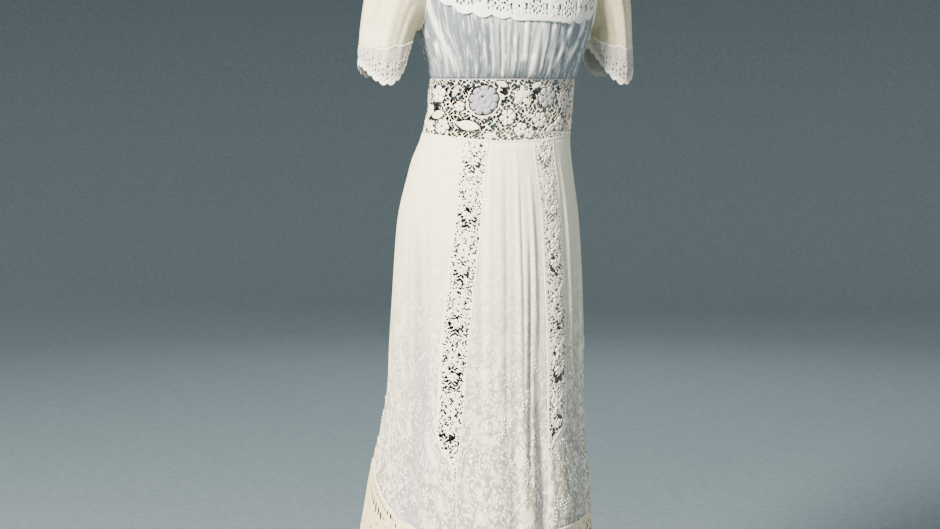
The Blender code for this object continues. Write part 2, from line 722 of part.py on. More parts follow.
def belt_surface(x: float, y: float) -> Vector:
    """Return the point in space of a flat point on the belt."""
    angle = math.degrees(x / BELT_RADIUS)
    foot = belt_foot(angle)
    return skirt_point(angle, foot + y / BELT_HEIGHT * (BELT_TOP - SEAM - foot))


def belt_gaps() -> list:
    """Return the net between the belt's motifs as diamonds."""
    half_round = math.pi * BELT_RADIUS
    gaps = []
    rows = int((BELT_HEIGHT - 2 * BELT_MARGIN) / (BELT_PITCH / 2)) + 1
    columns = int(half_round / BELT_PITCH) + 1
    for row, y in enumerate(spread(BELT_MARGIN, BELT_HEIGHT - BELT_MARGIN, rows)):
        for number in range(-columns, columns):
            x = (number + 0.5 + 0.5 * (row % 2)) * BELT_PITCH
            folded = x if abs(x) < half_round / 2 else math.copysign(half_round - abs(x), -x)
            if all(math.dist((folded, y), (motif.along, motif.up)) > motif.radius for motif in BELT_MOTIFS):
                gaps.append(diamond(x, y, BELT_GAP, BELT_GAP))
    return gaps


def make_belt() -> None:
    """Make the lace belt: one front and two back pieces."""
    quarter = math.pi / 2 * BELT_RADIUS
    half = SEAM / 2
    pieces = (
        ("belt_front", -quarter + half, quarter - half, BELT_FRONT_POINTS),
        ("belt_back_left", quarter + half, 2 * quarter - half, BELT_BACK_POINTS),
        ("belt_back_right", -2 * quarter + half, -quarter - half, BELT_BACK_POINTS),
    )
    for name, first, last, count in pieces:
        line = spread(first, last, count)
        thirds = (BELT_HEIGHT / 3, BELT_HEIGHT * 2 / 3)
        outline = [(x, 0.0) for x in line] + [(last, y) for y in thirds]
        outline += [(x, BELT_HEIGHT) for x in reversed(line)] + [(first, y) for y in reversed(thirds)]
        gaps = [gap for gap in belt_gaps() if inside(gap, outline)]
        inner = [(x, y) for x in line[1:-1] for y in thirds]
        lace_piece(name, outline, gaps, inner, belt_surface, WALL, CREAM)


def band_angle(rows: tuple, share: float, outer: bool) -> float:
    """Return the angle of one edge of a lace band."""
    row = BandEdge(*straight_row(rows, share))
    return row.outer if outer else row.inner


def gore(name: str, left, right, count: int) -> None:
    """Make a gore of the skirt between two edges.

    Args:
        name: the gore's name.
        left: function from a share of the length to the lower angle.
        right: function from a share of the length to the higher angle.
        count: how many columns the gore has.
    """
    columns = []
    for number in range(count):
        column = []
        for share in reversed(SKIRT_SHARES):
            first = turned(gore_point, left(share), share, SEAM / 2)
            last = turned(gore_point, right(share), share, -SEAM / 2)
            angle = first + (last - first) * number / (count - 1)
            column.append(gore_point(angle, share))
        columns.append(column)
    grid_piece(name, columns, WALL, CREAM)


def make_skirt() -> None:
    """Make the front, side and back gores."""
    gore("skirt_front", lambda s: band_angle(RIGHT_BAND, s, False), lambda s: band_angle(LEFT_BAND, s, False),
         FRONT_COLUMNS)
    gore("skirt_side_left", lambda s: band_angle(LEFT_BAND, s, True), lambda s: SIDE_BACK_SEAM, SIDE_COLUMNS)
    gore("skirt_side_right", lambda s: -SIDE_BACK_SEAM, lambda s: band_angle(RIGHT_BAND, s, True), SIDE_COLUMNS)
    gore("skirt_back_left", lambda s: SIDE_BACK_SEAM, lambda s: CENTRE_BACK, BACK_COLUMNS)
    gore("skirt_back_right", lambda s: -CENTRE_BACK, lambda s: -SIDE_BACK_SEAM, BACK_COLUMNS)


def make_band(name: str, rows: tuple, foot: float, side: int) -> None:
    """Make one lace band with a flower and its gaps in each repeat.

    Args:
        name: the band's name.
        rows: the table of the band's edges.
        foot: the share of the skirt's length where the band ends.
        side: 1 for the wearer's left, -1 for the right.
    """
    shares = [share for share in SKIRT_SHARES if share <= foot]
    inner = [(turned(gore_point, band_angle(rows, s, False), s, side * SEAM / 2), s) for s in shares]
    outer = [(turned(gore_point, band_angle(rows, s, True), s, -side * SEAM / 2), s) for s in shares]
    low, high = (inner, outer) if side > 0 else (outer, inner)
    edge = low + list(reversed(high))
    outline = [(math.radians(angle) * BAND_RADIUS, -share * BAND_LENGTH) for angle, share in edge]
    gaps = []
    for number in range(BAND_ROWS):
        share = BAND_FIRST + BAND_STEP * number
        centre = (band_angle(rows, share, False) + band_angle(rows, share, True)) / 2
        middle = math.radians(centre) * BAND_RADIUS
        wide = abs(band_angle(rows, share, False) - band_angle(rows, share, True))
        reach = math.radians(wide) * BAND_RADIUS / 2 - BAND_MARGIN
        tall = BAND_GAP * (1.5 if number % 2 else 1.1)
        gaps.append(diamond(middle - reach, -share * BAND_LENGTH, BAND_GAP, tall))
        gaps.append(diamond(middle + reach, -share * BAND_LENGTH, BAND_GAP, tall))
    gaps = [gap for gap in gaps if inside(gap, outline)]
    mid = [
        (math.radians((a[0] + b[0]) / 2) * BAND_RADIUS, -a[1] * BAND_LENGTH)
        for a, b in zip(inner[1:-1], outer[1:-1])
    ]

    def surface(x: float, y: float) -> Vector:
        """Return the point in space of a flat point on the band."""
        return gore_point(math.degrees(x / BAND_RADIUS), -y / BAND_LENGTH)

    lace_piece(name, outline, gaps, mid, surface, WALL, WHITE)


def flounce_surface(x: float, y: float) -> Vector:
    """Return the point in space of a flat point on the flounce."""
    return flounce_point(math.degrees(x / FLOUNCE_RADIUS), -y / FLOUNCE_DEEP)


def make_flounce() -> None:
    """Make the lace flounce: one front and two back pieces."""
    seam = math.degrees(SEAM / 2 / FLOUNCE_SEAM_RADIUS)
    front_seams = (RIGHT_BAND[-1].inner, LEFT_BAND[-1].inner)
    front = spread(-SIDE_BACK_SEAM + seam, front_seams[0], SIDE_COLUMNS)
    front += spread(*front_seams, FRONT_COLUMNS)[1:]
    front += spread(front_seams[1], SIDE_BACK_SEAM - seam, SIDE_COLUMNS)[1:]
    left = spread(SIDE_BACK_SEAM + seam, CENTRE_BACK - seam, BACK_COLUMNS)
    right = [-angle for angle in reversed(left)]
    for name, line in (("flounce_front", front), ("flounce_back_left", left), ("flounce_back_right", right)):
        first, last = line[0], line[-1]
        deep = HEM_SCALLOP / FLOUNCE_DEEP
        low = [(angle, 1.0 - (deep if number % 2 else 0.0)) for number, angle in enumerate(line)]
        edge = low + [(last, share) for share in reversed(FLOUNCE_SIDE_SHARES)]
        edge += [(angle, 0.0) for angle in reversed(line)] + [(first, share) for share in FLOUNCE_SIDE_SHARES]
        outline = [(math.radians(angle) * FLOUNCE_RADIUS, -share * FLOUNCE_DEEP) for angle, share in edge]
        gaps = [gap for gap in flounce_gaps() if inside(gap, outline)]
        inner = [
            (math.radians(angle) * FLOUNCE_RADIUS, -share * FLOUNCE_DEEP)
            for angle in line[1:-1] for share in FLOUNCE_INNER_SHARES
        ]
        lace_piece(name, outline, gaps, inner, flounce_surface, WALL, YELLOW_LACE)


def flounce_gaps() -> list:
    """Return two rows of oval gaps all round the flounce."""
    gaps = []
    total = 4 * FLOUNCE_GAPS_QUARTER
    for row, share in enumerate(FLOUNCE_GAP_ROWS):
        for number in range(total):
            angle = -CENTRE_BACK + 2 * CENTRE_BACK * (number + 0.25 + 0.5 * row) / total
            x = math.radians(angle) * FLOUNCE_RADIUS
            gaps.append(diamond(x, -share * 0.45, FLOUNCE_GAP * 0.7, FLOUNCE_GAP * (1.4 - 0.4 * row)))
    return gaps


def make_sleeve(side: int, word: str) -> None:
    """Make one sleeve and the two halves of its lace cuff.

    Args:
        side: 1 for the wearer's left, -1 for the right.
        word: the side's name.
    """
    turns = [360.0 / ARMHOLE_POINTS * number for number in range(ARMHOLE_POINTS)]
    columns = []
    for turn in turns:
        end = cuff_top(turn, side)
        columns.append([sleeve_point(turn, end * share, side) for share in reversed(SLEEVE_SHARES)])
    if side > 0:
        columns.reverse()
    grid_piece(f"sleeve_{word}", columns, WALL, CREAM, closed=True)
    for half, first, last in (("front", 0.0, 180.0), ("back", 180.0, 360.0)):
        make_cuff(f"cuff_{word}_{half}", first, last, side)


def make_cuff(name: str, first: float, last: float, side: int) -> None:
    """Make half a lace cuff with a picot edge and a row of gaps."""
    seam = math.degrees(SEAM / 2 / CUFF_RADIUS)
    line = spread(first + seam, last - seam, CUFF_PICOTS * 2 + 1)
    low = [(turn, CUFF_PICOT if number % 2 == 0 else 0.0) for number, turn in enumerate(line)]
    edge = low + [(turn, CUFF_TALL) for turn in reversed(line[::2])]
    outline = [(math.radians(turn) * CUFF_RADIUS, y) for turn, y in edge]
    gaps = []
    for number in range(CUFF_GAPS):
        turn = first + (last - first) * (number + 0.5) / CUFF_GAPS
        y = CUFF_TALL * (0.42 if number % 2 else 0.62)
        width = CuffWidth(*straight_row(CUFF_WIDTHS, turn % 360.0)).width
        if width > CUFF_GAP_ROOM:
            gaps.append(diamond(math.radians(turn) * CUFF_RADIUS, y, CUFF_GAP, CUFF_GAP * CUFF_TALL / width))
    inner = [(math.radians(turn) * CUFF_RADIUS, CUFF_TALL / 2) for turn in line[2:-1:2]]

    def surface(x: float, y: float) -> Vector:
        """Return the point in space of a flat point on the cuff."""
        turn = math.degrees(x / CUFF_RADIUS)
        top = cuff_top(turn, side)
        length = (sleeve_point(turn, 1.0, side) - sleeve_point(turn, top, side)).length
        begin = top + (1.0 - top) * SEAM / length
        return sleeve_point(turn, 1.0 - (1.0 - begin) * y / CUFF_TALL, side)

    if side > 0:
        lace_piece(name, mirror_flat(outline), [mirror_flat(gap) for gap in gaps],
                   [(-x, y) for x, y in inner], lambda x, y: surface(-x, y), WALL, CREAM)
    else:
        lace_piece(name, outline, gaps, inner, surface, WALL, CREAM)


def mirror_flat(outline: list) -> list:
    """Return a flat outline mirrored left to right, still anticlockwise."""
    return [(-x, y) for x, y in reversed(outline)]


def main() -> None:
    """Build the dress."""
    for old in list(bpy.data.objects):
        bpy.data.objects.remove(old, do_unlink=True)
    dress = bpy.data.collections.new("lace_dress")
    bpy.context.scene.collection.children.link(dress)
    make_bodice()
    make_yoke()
    make_belt()
    make_skirt()
    make_band("insertion_left", LEFT_BAND, LEFT_BAND_FOOT, 1)
    make_band("insertion_right", RIGHT_BAND, RIGHT_BAND_FOOT, -1)
    make_flounce()
    make_sleeve(1, "left")
    make_sleeve(-1, "right")


main()
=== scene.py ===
"""Looks of the lace dress: cloth, lace, stitching, finishes, camera and light."""
import sys
import json
import logging
import math
from dataclasses import dataclass, field
from enum import Enum
from functools import cache
from typing import Callable, NamedTuple

import bpy
import numpy as np
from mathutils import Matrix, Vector

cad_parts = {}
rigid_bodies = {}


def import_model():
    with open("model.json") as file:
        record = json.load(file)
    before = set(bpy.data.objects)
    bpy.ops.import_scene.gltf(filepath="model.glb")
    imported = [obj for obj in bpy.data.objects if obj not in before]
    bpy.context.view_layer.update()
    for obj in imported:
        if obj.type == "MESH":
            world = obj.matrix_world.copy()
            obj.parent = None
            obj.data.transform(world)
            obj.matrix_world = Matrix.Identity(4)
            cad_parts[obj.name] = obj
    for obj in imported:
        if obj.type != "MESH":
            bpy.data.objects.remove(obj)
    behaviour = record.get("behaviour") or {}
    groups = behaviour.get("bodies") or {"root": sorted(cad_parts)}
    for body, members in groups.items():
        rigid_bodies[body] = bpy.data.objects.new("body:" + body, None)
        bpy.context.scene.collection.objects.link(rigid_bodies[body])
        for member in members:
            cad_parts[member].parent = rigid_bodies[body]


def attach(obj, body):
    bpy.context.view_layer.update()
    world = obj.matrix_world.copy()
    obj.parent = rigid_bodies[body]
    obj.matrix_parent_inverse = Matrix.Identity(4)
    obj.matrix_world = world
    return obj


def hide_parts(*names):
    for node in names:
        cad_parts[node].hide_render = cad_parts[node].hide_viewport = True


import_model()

LOG = logging.getLogger("lace_dress")
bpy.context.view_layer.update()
SIDE_SEAM = 100.0
Array = np.ndarray
Place = Callable[[Array, Array], Array]


class Slot(Enum):
    """Material slots of the record."""

    VOILE = "voile"
    WHITE_LACE = "white_lace"
    BELT_LACE = "belt_lace"
    CREAM_COTTON = "cream_cotton"
    CREAM_LACE = "cream_lace"


class Side(Enum):
    """The wearer's two sides, as the sign of X."""

    LEFT = 1
    RIGHT = -1


class Held(Enum):
    """How a sheet of cloth is held."""

    HUNG = "hung"
    GATHERED = "gathered"
    STRETCHED = "stretched"


# The form of the dress


class Ring(NamedTuple):
    """A cross section of the skirt and belt at one height."""

    z: float
    half: float
    front: float
    back: float
    ridge: float
    shift: float


class Level(NamedTuple):
    """A bent cross section of the bodice."""

    level: float
    half: float
    front: float
    back: float
    z_front: float
    z_side: float
    z_back: float


class Fold(NamedTuple):
    """A main fold of the skirt, which drifts round towards the hem."""

    top_angle: float
    hem_angle: float
    spread: float
    depth: float
    start: float


class Crease(NamedTuple):
    """A finer crease between two heights; a trough has a depth below 0."""

    top_angle: float
    foot_angle: float
    top: float
    foot: float
    spread: float
    depth: float


class Tuck(NamedTuple):
    """A stitched tuck or gather line of the sheer bodice."""

    foot_angle: float
    top_angle: float
    low: float
    high: float
    wide: float
    rise: float
    dense: float


class Key(NamedTuple):
    """One value at one angle."""

    angle: float
    value: float


class BandEdge(NamedTuple):
    """The two edges of a lace band at one share of the skirt's length."""

    share: float
    inner: float
    outer: float


class Panel(NamedTuple):
    """A front or a back, between two angles."""

    name: str
    first: float
    last: float


def table_of(kind: type, *values: tuple) -> tuple:
    """Return one named row for each tuple of values."""
    return tuple(kind(*value) for value in values)


def panels(seam: float = 90.0) -> tuple:
    """Return the front and the two backs that meet at the side seams."""
    return table_of(Panel, ("front", -seam, seam), ("back_left", seam, 180.0),
                    ("back_right", -180.0, -seam))


class Curve:
    """A smooth or straight line through the rows of a table."""

    def __init__(self, rows: tuple, smooth: bool = True) -> None:
        """Keep the table sorted by its first column.

        Args:
            rows: rows whose first value is the key.
            smooth: whether the line is curved between rows.
        """
        table = np.array([tuple(row) for row in rows], float)
        table = table[np.argsort(table[:, 0])]
        self.keys = table[:, 0]
        self.values = table[:, 1:]
        self.smooth = smooth
        steps = np.diff(self.values, axis=0) / np.diff(self.keys)[:, None]
        wide = (self.values[2:] - self.values[:-2]) / (self.keys[2:] - self.keys[:-2])[:, None]
        self.slopes = np.vstack([steps[:1], wide, steps[-1:]])

    def at(self, key: Array) -> Array:
        """Return the values at each key.

        Args:
            key: array of keys.

        Returns:
            An array with one more axis, for the table's columns.
        """
        key = np.asarray(key, float)
        low = np.clip(np.searchsorted(self.keys, key, side="right") - 1, 0, len(self.keys) - 2)
        span = (self.keys[low + 1] - self.keys[low])[..., None]
        t = np.clip((key - self.keys[low])[..., None] / span, 0.0, 1.0)
        here = self.values[low]
        there = self.values[low + 1]
        if not self.smooth:
            return here + (there - here) * t
        bend = (t ** 3 - 2 * t ** 2 + t) * span * self.slopes[low]
        bend += (t ** 3 - t ** 2) * span * self.slopes[low + 1]
        return (2 * t ** 3 - 3 * t ** 2 + 1) * here + (3 * t ** 2 - 2 * t ** 3) * there + bend


def unit(vectors: Array) -> Array:
    """Return the vectors at length one."""
    return vectors / np.maximum(np.linalg.norm(vectors, axis=-1, keepdims=True), 1e-12)


def wrapped(angle: Array) -> Array:
    """Return angles between -180 and 180 degrees."""
    return (angle + 180.0) % 360.0 - 180.0


@dataclass(frozen=True)
class SkirtForm:
    """The outer form of belt, skirt and flounce."""

    belt_top: float = -0.302
    belt_foot_front: float = -0.398
    belt_foot_back: float = -0.388
    belt_seam: float = 0.0006
    hem: float = -1.4
    crease_scale: float = 1.5
    rings: tuple = table_of(
        Ring,
        (-0.302, 0.1165, -0.0925, 0.086, 0.0, -0.0015), (-0.35, 0.1165, -0.088, 0.084, 0.0, -0.005),
        (-0.396, 0.12, -0.092, 0.088, 0.0, -0.012), (-0.43, 0.128, -0.097, 0.11, 0.012, -0.0145),
        (-0.47, 0.136, -0.102, 0.135, 0.022, -0.0145), (-0.52, 0.1445, -0.105, 0.152, 0.03, -0.0145),
        (-0.58, 0.149, -0.108, 0.163, 0.034, -0.014), (-0.655, 0.1525, -0.11, 0.172, 0.038, -0.0135),
        (-0.73, 0.155, -0.112, 0.183, 0.042, -0.014), (-0.808, 0.1555, -0.116, 0.2, 0.05, -0.0145),
        (-0.885, 0.164, -0.122, 0.224, 0.06, -0.016), (-0.95, 0.1755, -0.129, 0.248, 0.07, -0.0185),
        (-1.02, 0.1815, -0.138, 0.272, 0.08, -0.021), (-1.2, 0.204, -0.164, 0.326, 0.1, -0.026),
        (-1.41, 0.226, -0.194, 0.378, 0.118, -0.031))
    folds: tuple = table_of(
        Fold,
        (-92.0, -84.0, 7.0, 0.006, -0.48), (-64.0, -46.0, 6.0, -0.008, -0.52),
        (-52.0, -36.0, 5.0, 0.005, -0.56), (-27.5, -28.0, 3.0, -0.006, -0.6),
        (-10.0, -12.0, 6.0, 0.007, -0.44), (-2.0, 0.0, 4.0, -0.005, -0.42), (6.0, 8.0, 5.0, 0.006, -0.45),
        (14.0, 15.0, 4.0, -0.009, -0.48), (27.0, 30.0, 7.0, 0.006, -0.5), (46.0, 50.0, 6.0, -0.008, -0.5),
        (62.0, 66.0, 7.0, 0.007, -0.46), (84.0, 88.0, 6.0, -0.006, -0.52), (103.0, 106.0, 6.0, 0.01, -0.44),
        (118.0, 122.0, 5.0, -0.011, -0.43), (133.0, 138.0, 6.0, 0.013, -0.42),
        (148.0, 152.0, 5.0, -0.013, -0.42), (163.0, 166.0, 6.0, 0.015, -0.41),
        (-103.0, -108.0, 5.0, -0.009, -0.44), (-119.0, -124.0, 6.0, 0.012, -0.43),
        (-134.0, -139.0, 5.0, -0.013, -0.42), (-149.0, -153.0, 6.0, 0.014, -0.42),
        (-165.0, -167.0, 5.0, -0.014, -0.41))
    creases: tuple = table_of(
        Crease,
        (-76.0, -66.0, -0.5, -1.2, 2.6, -0.0022), (-70.0, -58.0, -0.56, -1.34, 2.2, 0.002),
        (-58.0, -50.0, -0.44, -0.92, 2.4, -0.0016), (-46.0, -40.0, -0.72, -1.38, 1.8, -0.002),
        (-22.0, -20.0, -0.43, -1.05, 2.0, -0.0018), (-16.0, -17.0, -0.4, -1.3, 1.8, 0.0018),
        (-6.0, -5.0, -0.41, -0.98, 1.6, -0.002), (-4.5, -3.0, -0.62, -1.36, 1.5, 0.0014),
        (2.0, 4.0, -0.4, -1.1, 1.5, 0.0022), (3.8, 4.4, -0.46, -0.86, 1.0, -0.0026),
        (9.5, 7.0, -0.54, -0.96, 1.1, -0.0044), (-68.0, -50.0, -0.52, -1.3, 4.4, -0.0046),
        (11.0, 13.0, -0.44, -0.74, 1.4, 0.0022), (16.0, 17.5, -0.82, -1.38, 1.3, -0.0034),
        (20.5, 22.0, -0.8, -1.38, 2.0, 0.0022), (38.0, 41.0, -0.48, -1.02, 2.2, -0.0024),
        (42.0, 46.0, -0.42, -1.2, 2.0, 0.0024), (55.0, 58.0, -0.5, -1.32, 2.4, -0.0022),
        (71.0, 76.0, -0.44, -1.06, 2.6, -0.002), (92.0, 97.0, -0.5, -1.36, 2.4, 0.0024),
        (-112.0, -116.0, -0.42, -1.2, 2.4, 0.0028), (-127.0, -131.0, -0.46, -1.36, 2.2, -0.003),
        (-142.0, -147.0, -0.41, -1.1, 2.0, 0.0026), (-158.0, -160.0, -0.4, -1.36, 2.4, -0.003),
        (-174.0, -175.0, -0.42, -1.3, 2.2, 0.0028), (112.0, 114.0, -0.43, -1.24, 2.2, -0.0028),
        (126.0, 130.0, -0.44, -1.36, 2.4, 0.003), (141.0, 145.0, -0.41, -1.16, 2.0, -0.0028),
        (156.0, 159.0, -0.43, -1.37, 2.2, 0.0028), (172.0, 174.0, -0.4, -1.26, 2.0, -0.003))
    flounce_edge: tuple = table_of(
        Key,
        (-180.0, -0.875), (-120.0, -0.892), (-96.0, -0.922), (-78.0, -0.968), (-60.0, -1.002),
        (-35.0, -1.024), (0.0, -1.036), (9.0, -1.036), (17.0, -1.01), (60.0, -1.007), (78.0, -1.0),
        (96.0, -0.975), (120.0, -0.905), (180.0, -0.875))

    def fold_height(self, angle: Array, z: Array) -> Array:
        """Return how far the main folds and creases move the cloth out.

        Args:
            angle: degrees round the body.
            z: heights in metres.

        Returns:
            Distances in metres.
        """
        out = np.zeros(np.broadcast(angle, z).shape)
        for fold in self.folds:
            grown = np.maximum((fold.start - z) / (fold.start - self.hem), 0.0)
            away = wrapped(angle - fold.top_angle - (fold.hem_angle - fold.top_angle) * grown)
            out += fold.depth * grown ** 0.7 * np.exp(-((away / fold.spread) ** 2))
        for crease in self.creases:
            share = np.clip((crease.top - z) / (crease.top - crease.foot), 0.0, 1.0)
            away = wrapped(angle - crease.top_angle - (crease.foot_angle - crease.top_angle) * share)
            swell = np.sin(math.pi * share) ** 0.6
            out += self.crease_scale * crease.depth * swell * np.exp(-((away / crease.spread) ** 2))
        return out

    def points(self, angle: Array, z: Array) -> Array:
        """Return points on the belt, skirt or flounce.

        Args:
            angle: degrees round the body.
            z: heights in metres.

        Returns:
            Points in space.
        """
        half, front, back, ridge, shift = np.moveaxis(Curve(self.rings).at(z), -1, 0)
        turn = np.radians(angle)
        side = np.sin(turn)
        ahead = np.cos(turn)
        depth = np.where(ahead > 0, ridge - front, back - ridge)
        out = self.fold_height(angle, z)
        across = unit(np.stack([side * depth, -ahead * half, np.zeros_like(half)], axis=-1))
        x = shift + half * side
        y = ridge - depth * ahead
        return np.stack([x, y, z + 0.0 * x], axis=-1) + across * out[..., None]

    def belt_foot(self, angle: Array) -> Array:
        """Return the height of the belt's lower edge."""
        ahead = np.maximum(np.cos(np.radians(angle)), 0.0)
        return self.belt_foot_back + (self.belt_foot_front - self.belt_foot_back) * ahead ** 2

    def belt(self, angle: Array, up: Array) -> Array:
        """Return points on the belt at a share of its height."""
        foot = self.belt_foot(angle)
        return self.points(angle, foot + up * (self.belt_top - foot))

    def flounce_top(self, angle: Array) -> Array:
        """Return the height of the seam between skirt and flounce."""
        return Curve(self.flounce_edge).at(angle)[..., 0]

    def gore(self, angle: Array, share: Array) -> Array:
        """Return points on the skirt, from the belt down to the flounce."""
        top = self.belt_foot(angle) - self.belt_seam
        return self.points(angle, top + (self.flounce_top(angle) - top) * share)

    def flounce(self, angle: Array, share: Array) -> Array:
        """Return points on the flounce, from its seam down to the hem."""
        top = self.flounce_top(angle)
        return self.points(angle, top + (self.hem - top) * share)


@dataclass(frozen=True)
class BodiceForm:
    """The form of bodice and yoke, from the waist over the shoulders."""

    levels: tuple = table_of(
        Level,
        (0.0, 0.117, -0.093, 0.087, -0.3016, -0.3016, -0.3016),
        (0.5, 0.1195, -0.104, 0.089, -0.29, -0.288, -0.286),
        (1.0, 0.1235, -0.111, 0.091, -0.274, -0.272, -0.27),
        (2.0, 0.1325, -0.118, 0.094, -0.244, -0.249, -0.242),
        (3.0, 0.14, -0.122, 0.098, -0.212, -0.228, -0.208),
        (4.0, 0.153, -0.118, 0.1, -0.166, -0.164, -0.155),
        (5.0, 0.166, -0.108, 0.098, -0.13, -0.092, -0.105),
        (6.0, 0.154, -0.096, 0.086, -0.105, -0.04, -0.065),
        (7.0, 0.112, -0.085, 0.072, -0.088, -0.016, -0.038),
        (8.0, 0.076, -0.076, 0.062, -0.078, 0.0, -0.024))
    front_gathers: int = 26
    back_gathers: int = 20
    gather_depth: float = 0.002
    gather_fade: float = 3.0
    gather_plain: float = 20.0
    armhole_level: float = 4.45
    armhole_rise: float = 1.45
    armhole_width: float = 28.0
    armhole_radius: float = 0.16
    armhole_level_step: float = 0.055
    yoke_front: float = 3.1
    yoke_rise: float = 1.125
    yoke_lap: float = 0.35
    yoke_foot: tuple = table_of(
        Key,
        (-180.0, 3.14), (-150.0, 3.26), (-120.0, 3.64), (-104.0, 3.94), (-88.0, 4.22), (-74.0, 4.2),
        (-62.0, 4.0), (-46.0, 3.54), (-31.0, 3.28), (-17.0, 3.16), (-5.0, 3.0), (4.0, 2.92), (18.0, 2.96),
        (32.0, 3.06), (45.0, 3.22), (58.0, 3.46), (70.0, 3.8), (88.0, 4.2), (104.0, 3.94), (120.0, 3.64),
        (150.0, 3.26), (180.0, 3.14))
    neck: float = 8.0
    normal_step: float = 0.04

    def gather_height(self, angle: Array, level: Array) -> Array:
        """Return how far the gathers move the bodice out."""
        count = np.where(np.abs(angle) <= 90.0, self.front_gathers, self.back_gathers)
        share = np.clip(level / self.gather_fade, 0.0, 1.0)
        rise = np.sin(math.pi * share) ** 0.5
        wave = np.cos(2 * math.pi * count * (np.abs(angle) % 90.0) / 180.0)
        from_side = np.abs(np.abs(angle) - 90.0)
        middle = (90.0 - from_side) / self.gather_plain + 0.3
        ends = np.minimum(np.minimum(from_side / self.gather_plain, middle), 1.0)
        return np.where(level < self.gather_fade, self.gather_depth * rise * wave * ends, 0.0)

    def base(self, angle: Array, level: Array) -> Array:
        """Return points on the bodice.

        Args:
            angle: degrees round the body.
            level: levels from the waist to the neckline.

        Returns:
            Points in space.
        """
        half, front, back, z_front, z_side, z_back = np.moveaxis(Curve(self.levels).at(level), -1, 0)
        turn = np.radians(angle)
        side = np.sin(turn)
        ahead = np.cos(turn)
        depth = np.where(ahead > 0, -front, back)
        z_end = np.where(ahead > 0, z_front, z_back)
        across = unit(np.stack([side * depth, -ahead * half, np.zeros_like(half + side)], axis=-1))
        z = z_side + (z_end - z_side) * ahead ** 2
        spot = np.stack([half * side, -depth * ahead, z], axis=-1)
        return spot + across * self.gather_height(angle, level)[..., None]

    def outward(self, angle: Array, level: Array) -> Array:
        """Return the outward normals of the bodice."""
        low = np.minimum(level, self.neck - self.normal_step)
        round_it = self.base(angle + 0.5, low) - self.base(angle - 0.5, low)
        up_it = self.base(angle, low + self.normal_step) - self.base(angle, low - self.normal_step)
        return unit(np.cross(round_it, up_it))

    def top(self, angle: Array) -> Array:
        """Return the level of the bodice's upper edge under the yoke."""
        share = np.minimum(np.abs(angle), 180.0 - np.abs(angle)) / 90.0
        return self.yoke_front + self.yoke_lap + self.yoke_rise * share ** 2

    def foot(self, angle: Array) -> Array:
        """Return the level of the yoke's lower edge."""
        return Curve(self.yoke_foot).at(angle)[..., 0]

    def armhole_distance(self, angle: Array, level: Array) -> Array:
        """Return the distance outside the nearer armhole, in metres."""
        away = (np.abs(angle) - 90.0) / self.armhole_width
        rise = (level - self.armhole_level) / self.armhole_rise
        return (np.sqrt(away ** 2 + rise ** 2) - 1.0) * self.armhole_radius * 0.48

    def armhole(self, turn: Array, side: Side, inset: float = 0.0) -> tuple:
        """Return the angles and levels of points on an armhole's edge.

        Args:
            turn: degrees round the armhole, from its top to its front.
            side: the wearer's side.
            inset: metres towards the armhole's middle.

        Returns:
            Angles round the body and levels.
        """
        wide = self.armhole_width - math.degrees(inset / self.armhole_radius)
        rise = self.armhole_rise - inset / self.armhole_level_step
        angle = 90.0 - wide * np.sin(np.radians(turn))
        return side.value * angle, self.armhole_level + rise * np.cos(np.radians(turn))


@dataclass(frozen=True)
class SleeveForm:
    """The form of one sleeve with its cuff."""

    bodice: BodiceForm
    side: Side
    out_left: float = 0.183
    out_right: float = 0.1915
    set_back: float = 0.016
    half_width: float = 0.037
    half_depth: float = 0.055
    hem_mean: float = -0.2873
    hem_outer: float = -0.0145
    hem_points: float = 0.0188
    hem_front: float = -0.006
    head: float = 0.3
    head_most: float = 0.038
    hang: float = 0.35
    inset: float = 0.0021
    cuff_widths: tuple = table_of(
        Key,
        (0.0, 0.024), (45.0, 0.042), (90.0, 0.054), (135.0, 0.034), (180.0, 0.012), (225.0, 0.03),
        (270.0, 0.046), (315.0, 0.036), (360.0, 0.024))
    cuff_share_most: float = 0.55

    def hem(self, turn: Array) -> Array:
        """Return points on the sleeve's hem."""
        ahead = np.radians(turn)
        z = self.hem_mean + self.hem_outer * np.cos(ahead)
        z = z + self.hem_points * np.cos(2 * ahead) + self.hem_front * np.sin(ahead)
        out = self.out_left if self.side is Side.LEFT else self.out_right
        x = self.side.value * (out + self.half_width * np.cos(ahead))
        return np.stack([x, self.set_back - self.half_depth * np.sin(ahead), z], axis=-1)

    def points(self, turn: Array, share: Array) -> Array:
        """Return points on the sleeve, from the armhole to the hem.

        Args:
            turn: degrees round the arm, 0 outermost and 90 at the front.
            share: share of the sleeve's length.

        Returns:
            Points in space.
        """
        turn, share = np.broadcast_arrays(turn, share)
        angle, level = self.bodice.armhole(turn, self.side, self.inset)
        start = self.bodice.base(angle, level)
        end = self.hem(turn)
        length = np.linalg.norm(end - start, axis=-1, keepdims=True)
        reach = np.minimum(self.head * length, self.head_most)
        out = start + self.bodice.outward(angle, level) * reach
        above = end + np.array([0.0, 0.0, self.hang]) * length
        keep = 1.0 - share[..., None]
        gone = share[..., None]
        curve = start * keep ** 3 + out * (3 * keep ** 2 * gone)
        return curve + above * (3 * keep * gone ** 2) + end * gone ** 3

    def cuff_top(self, turn: Array) -> Array:
        """Return the share of the sleeve's length where the cuff begins."""
        width = Curve(self.cuff_widths, smooth=False).at(np.mod(turn, 360.0))[..., 0]
        stops = [self.points(turn, np.full(np.shape(turn), share)) for share in np.linspace(0, 1, 9)]
        length = sum(np.linalg.norm(b - a, axis=-1) for a, b in zip(stops, stops[1:]))
        return 1.0 - np.minimum(width / length, self.cuff_share_most)


# Drafting and weaving


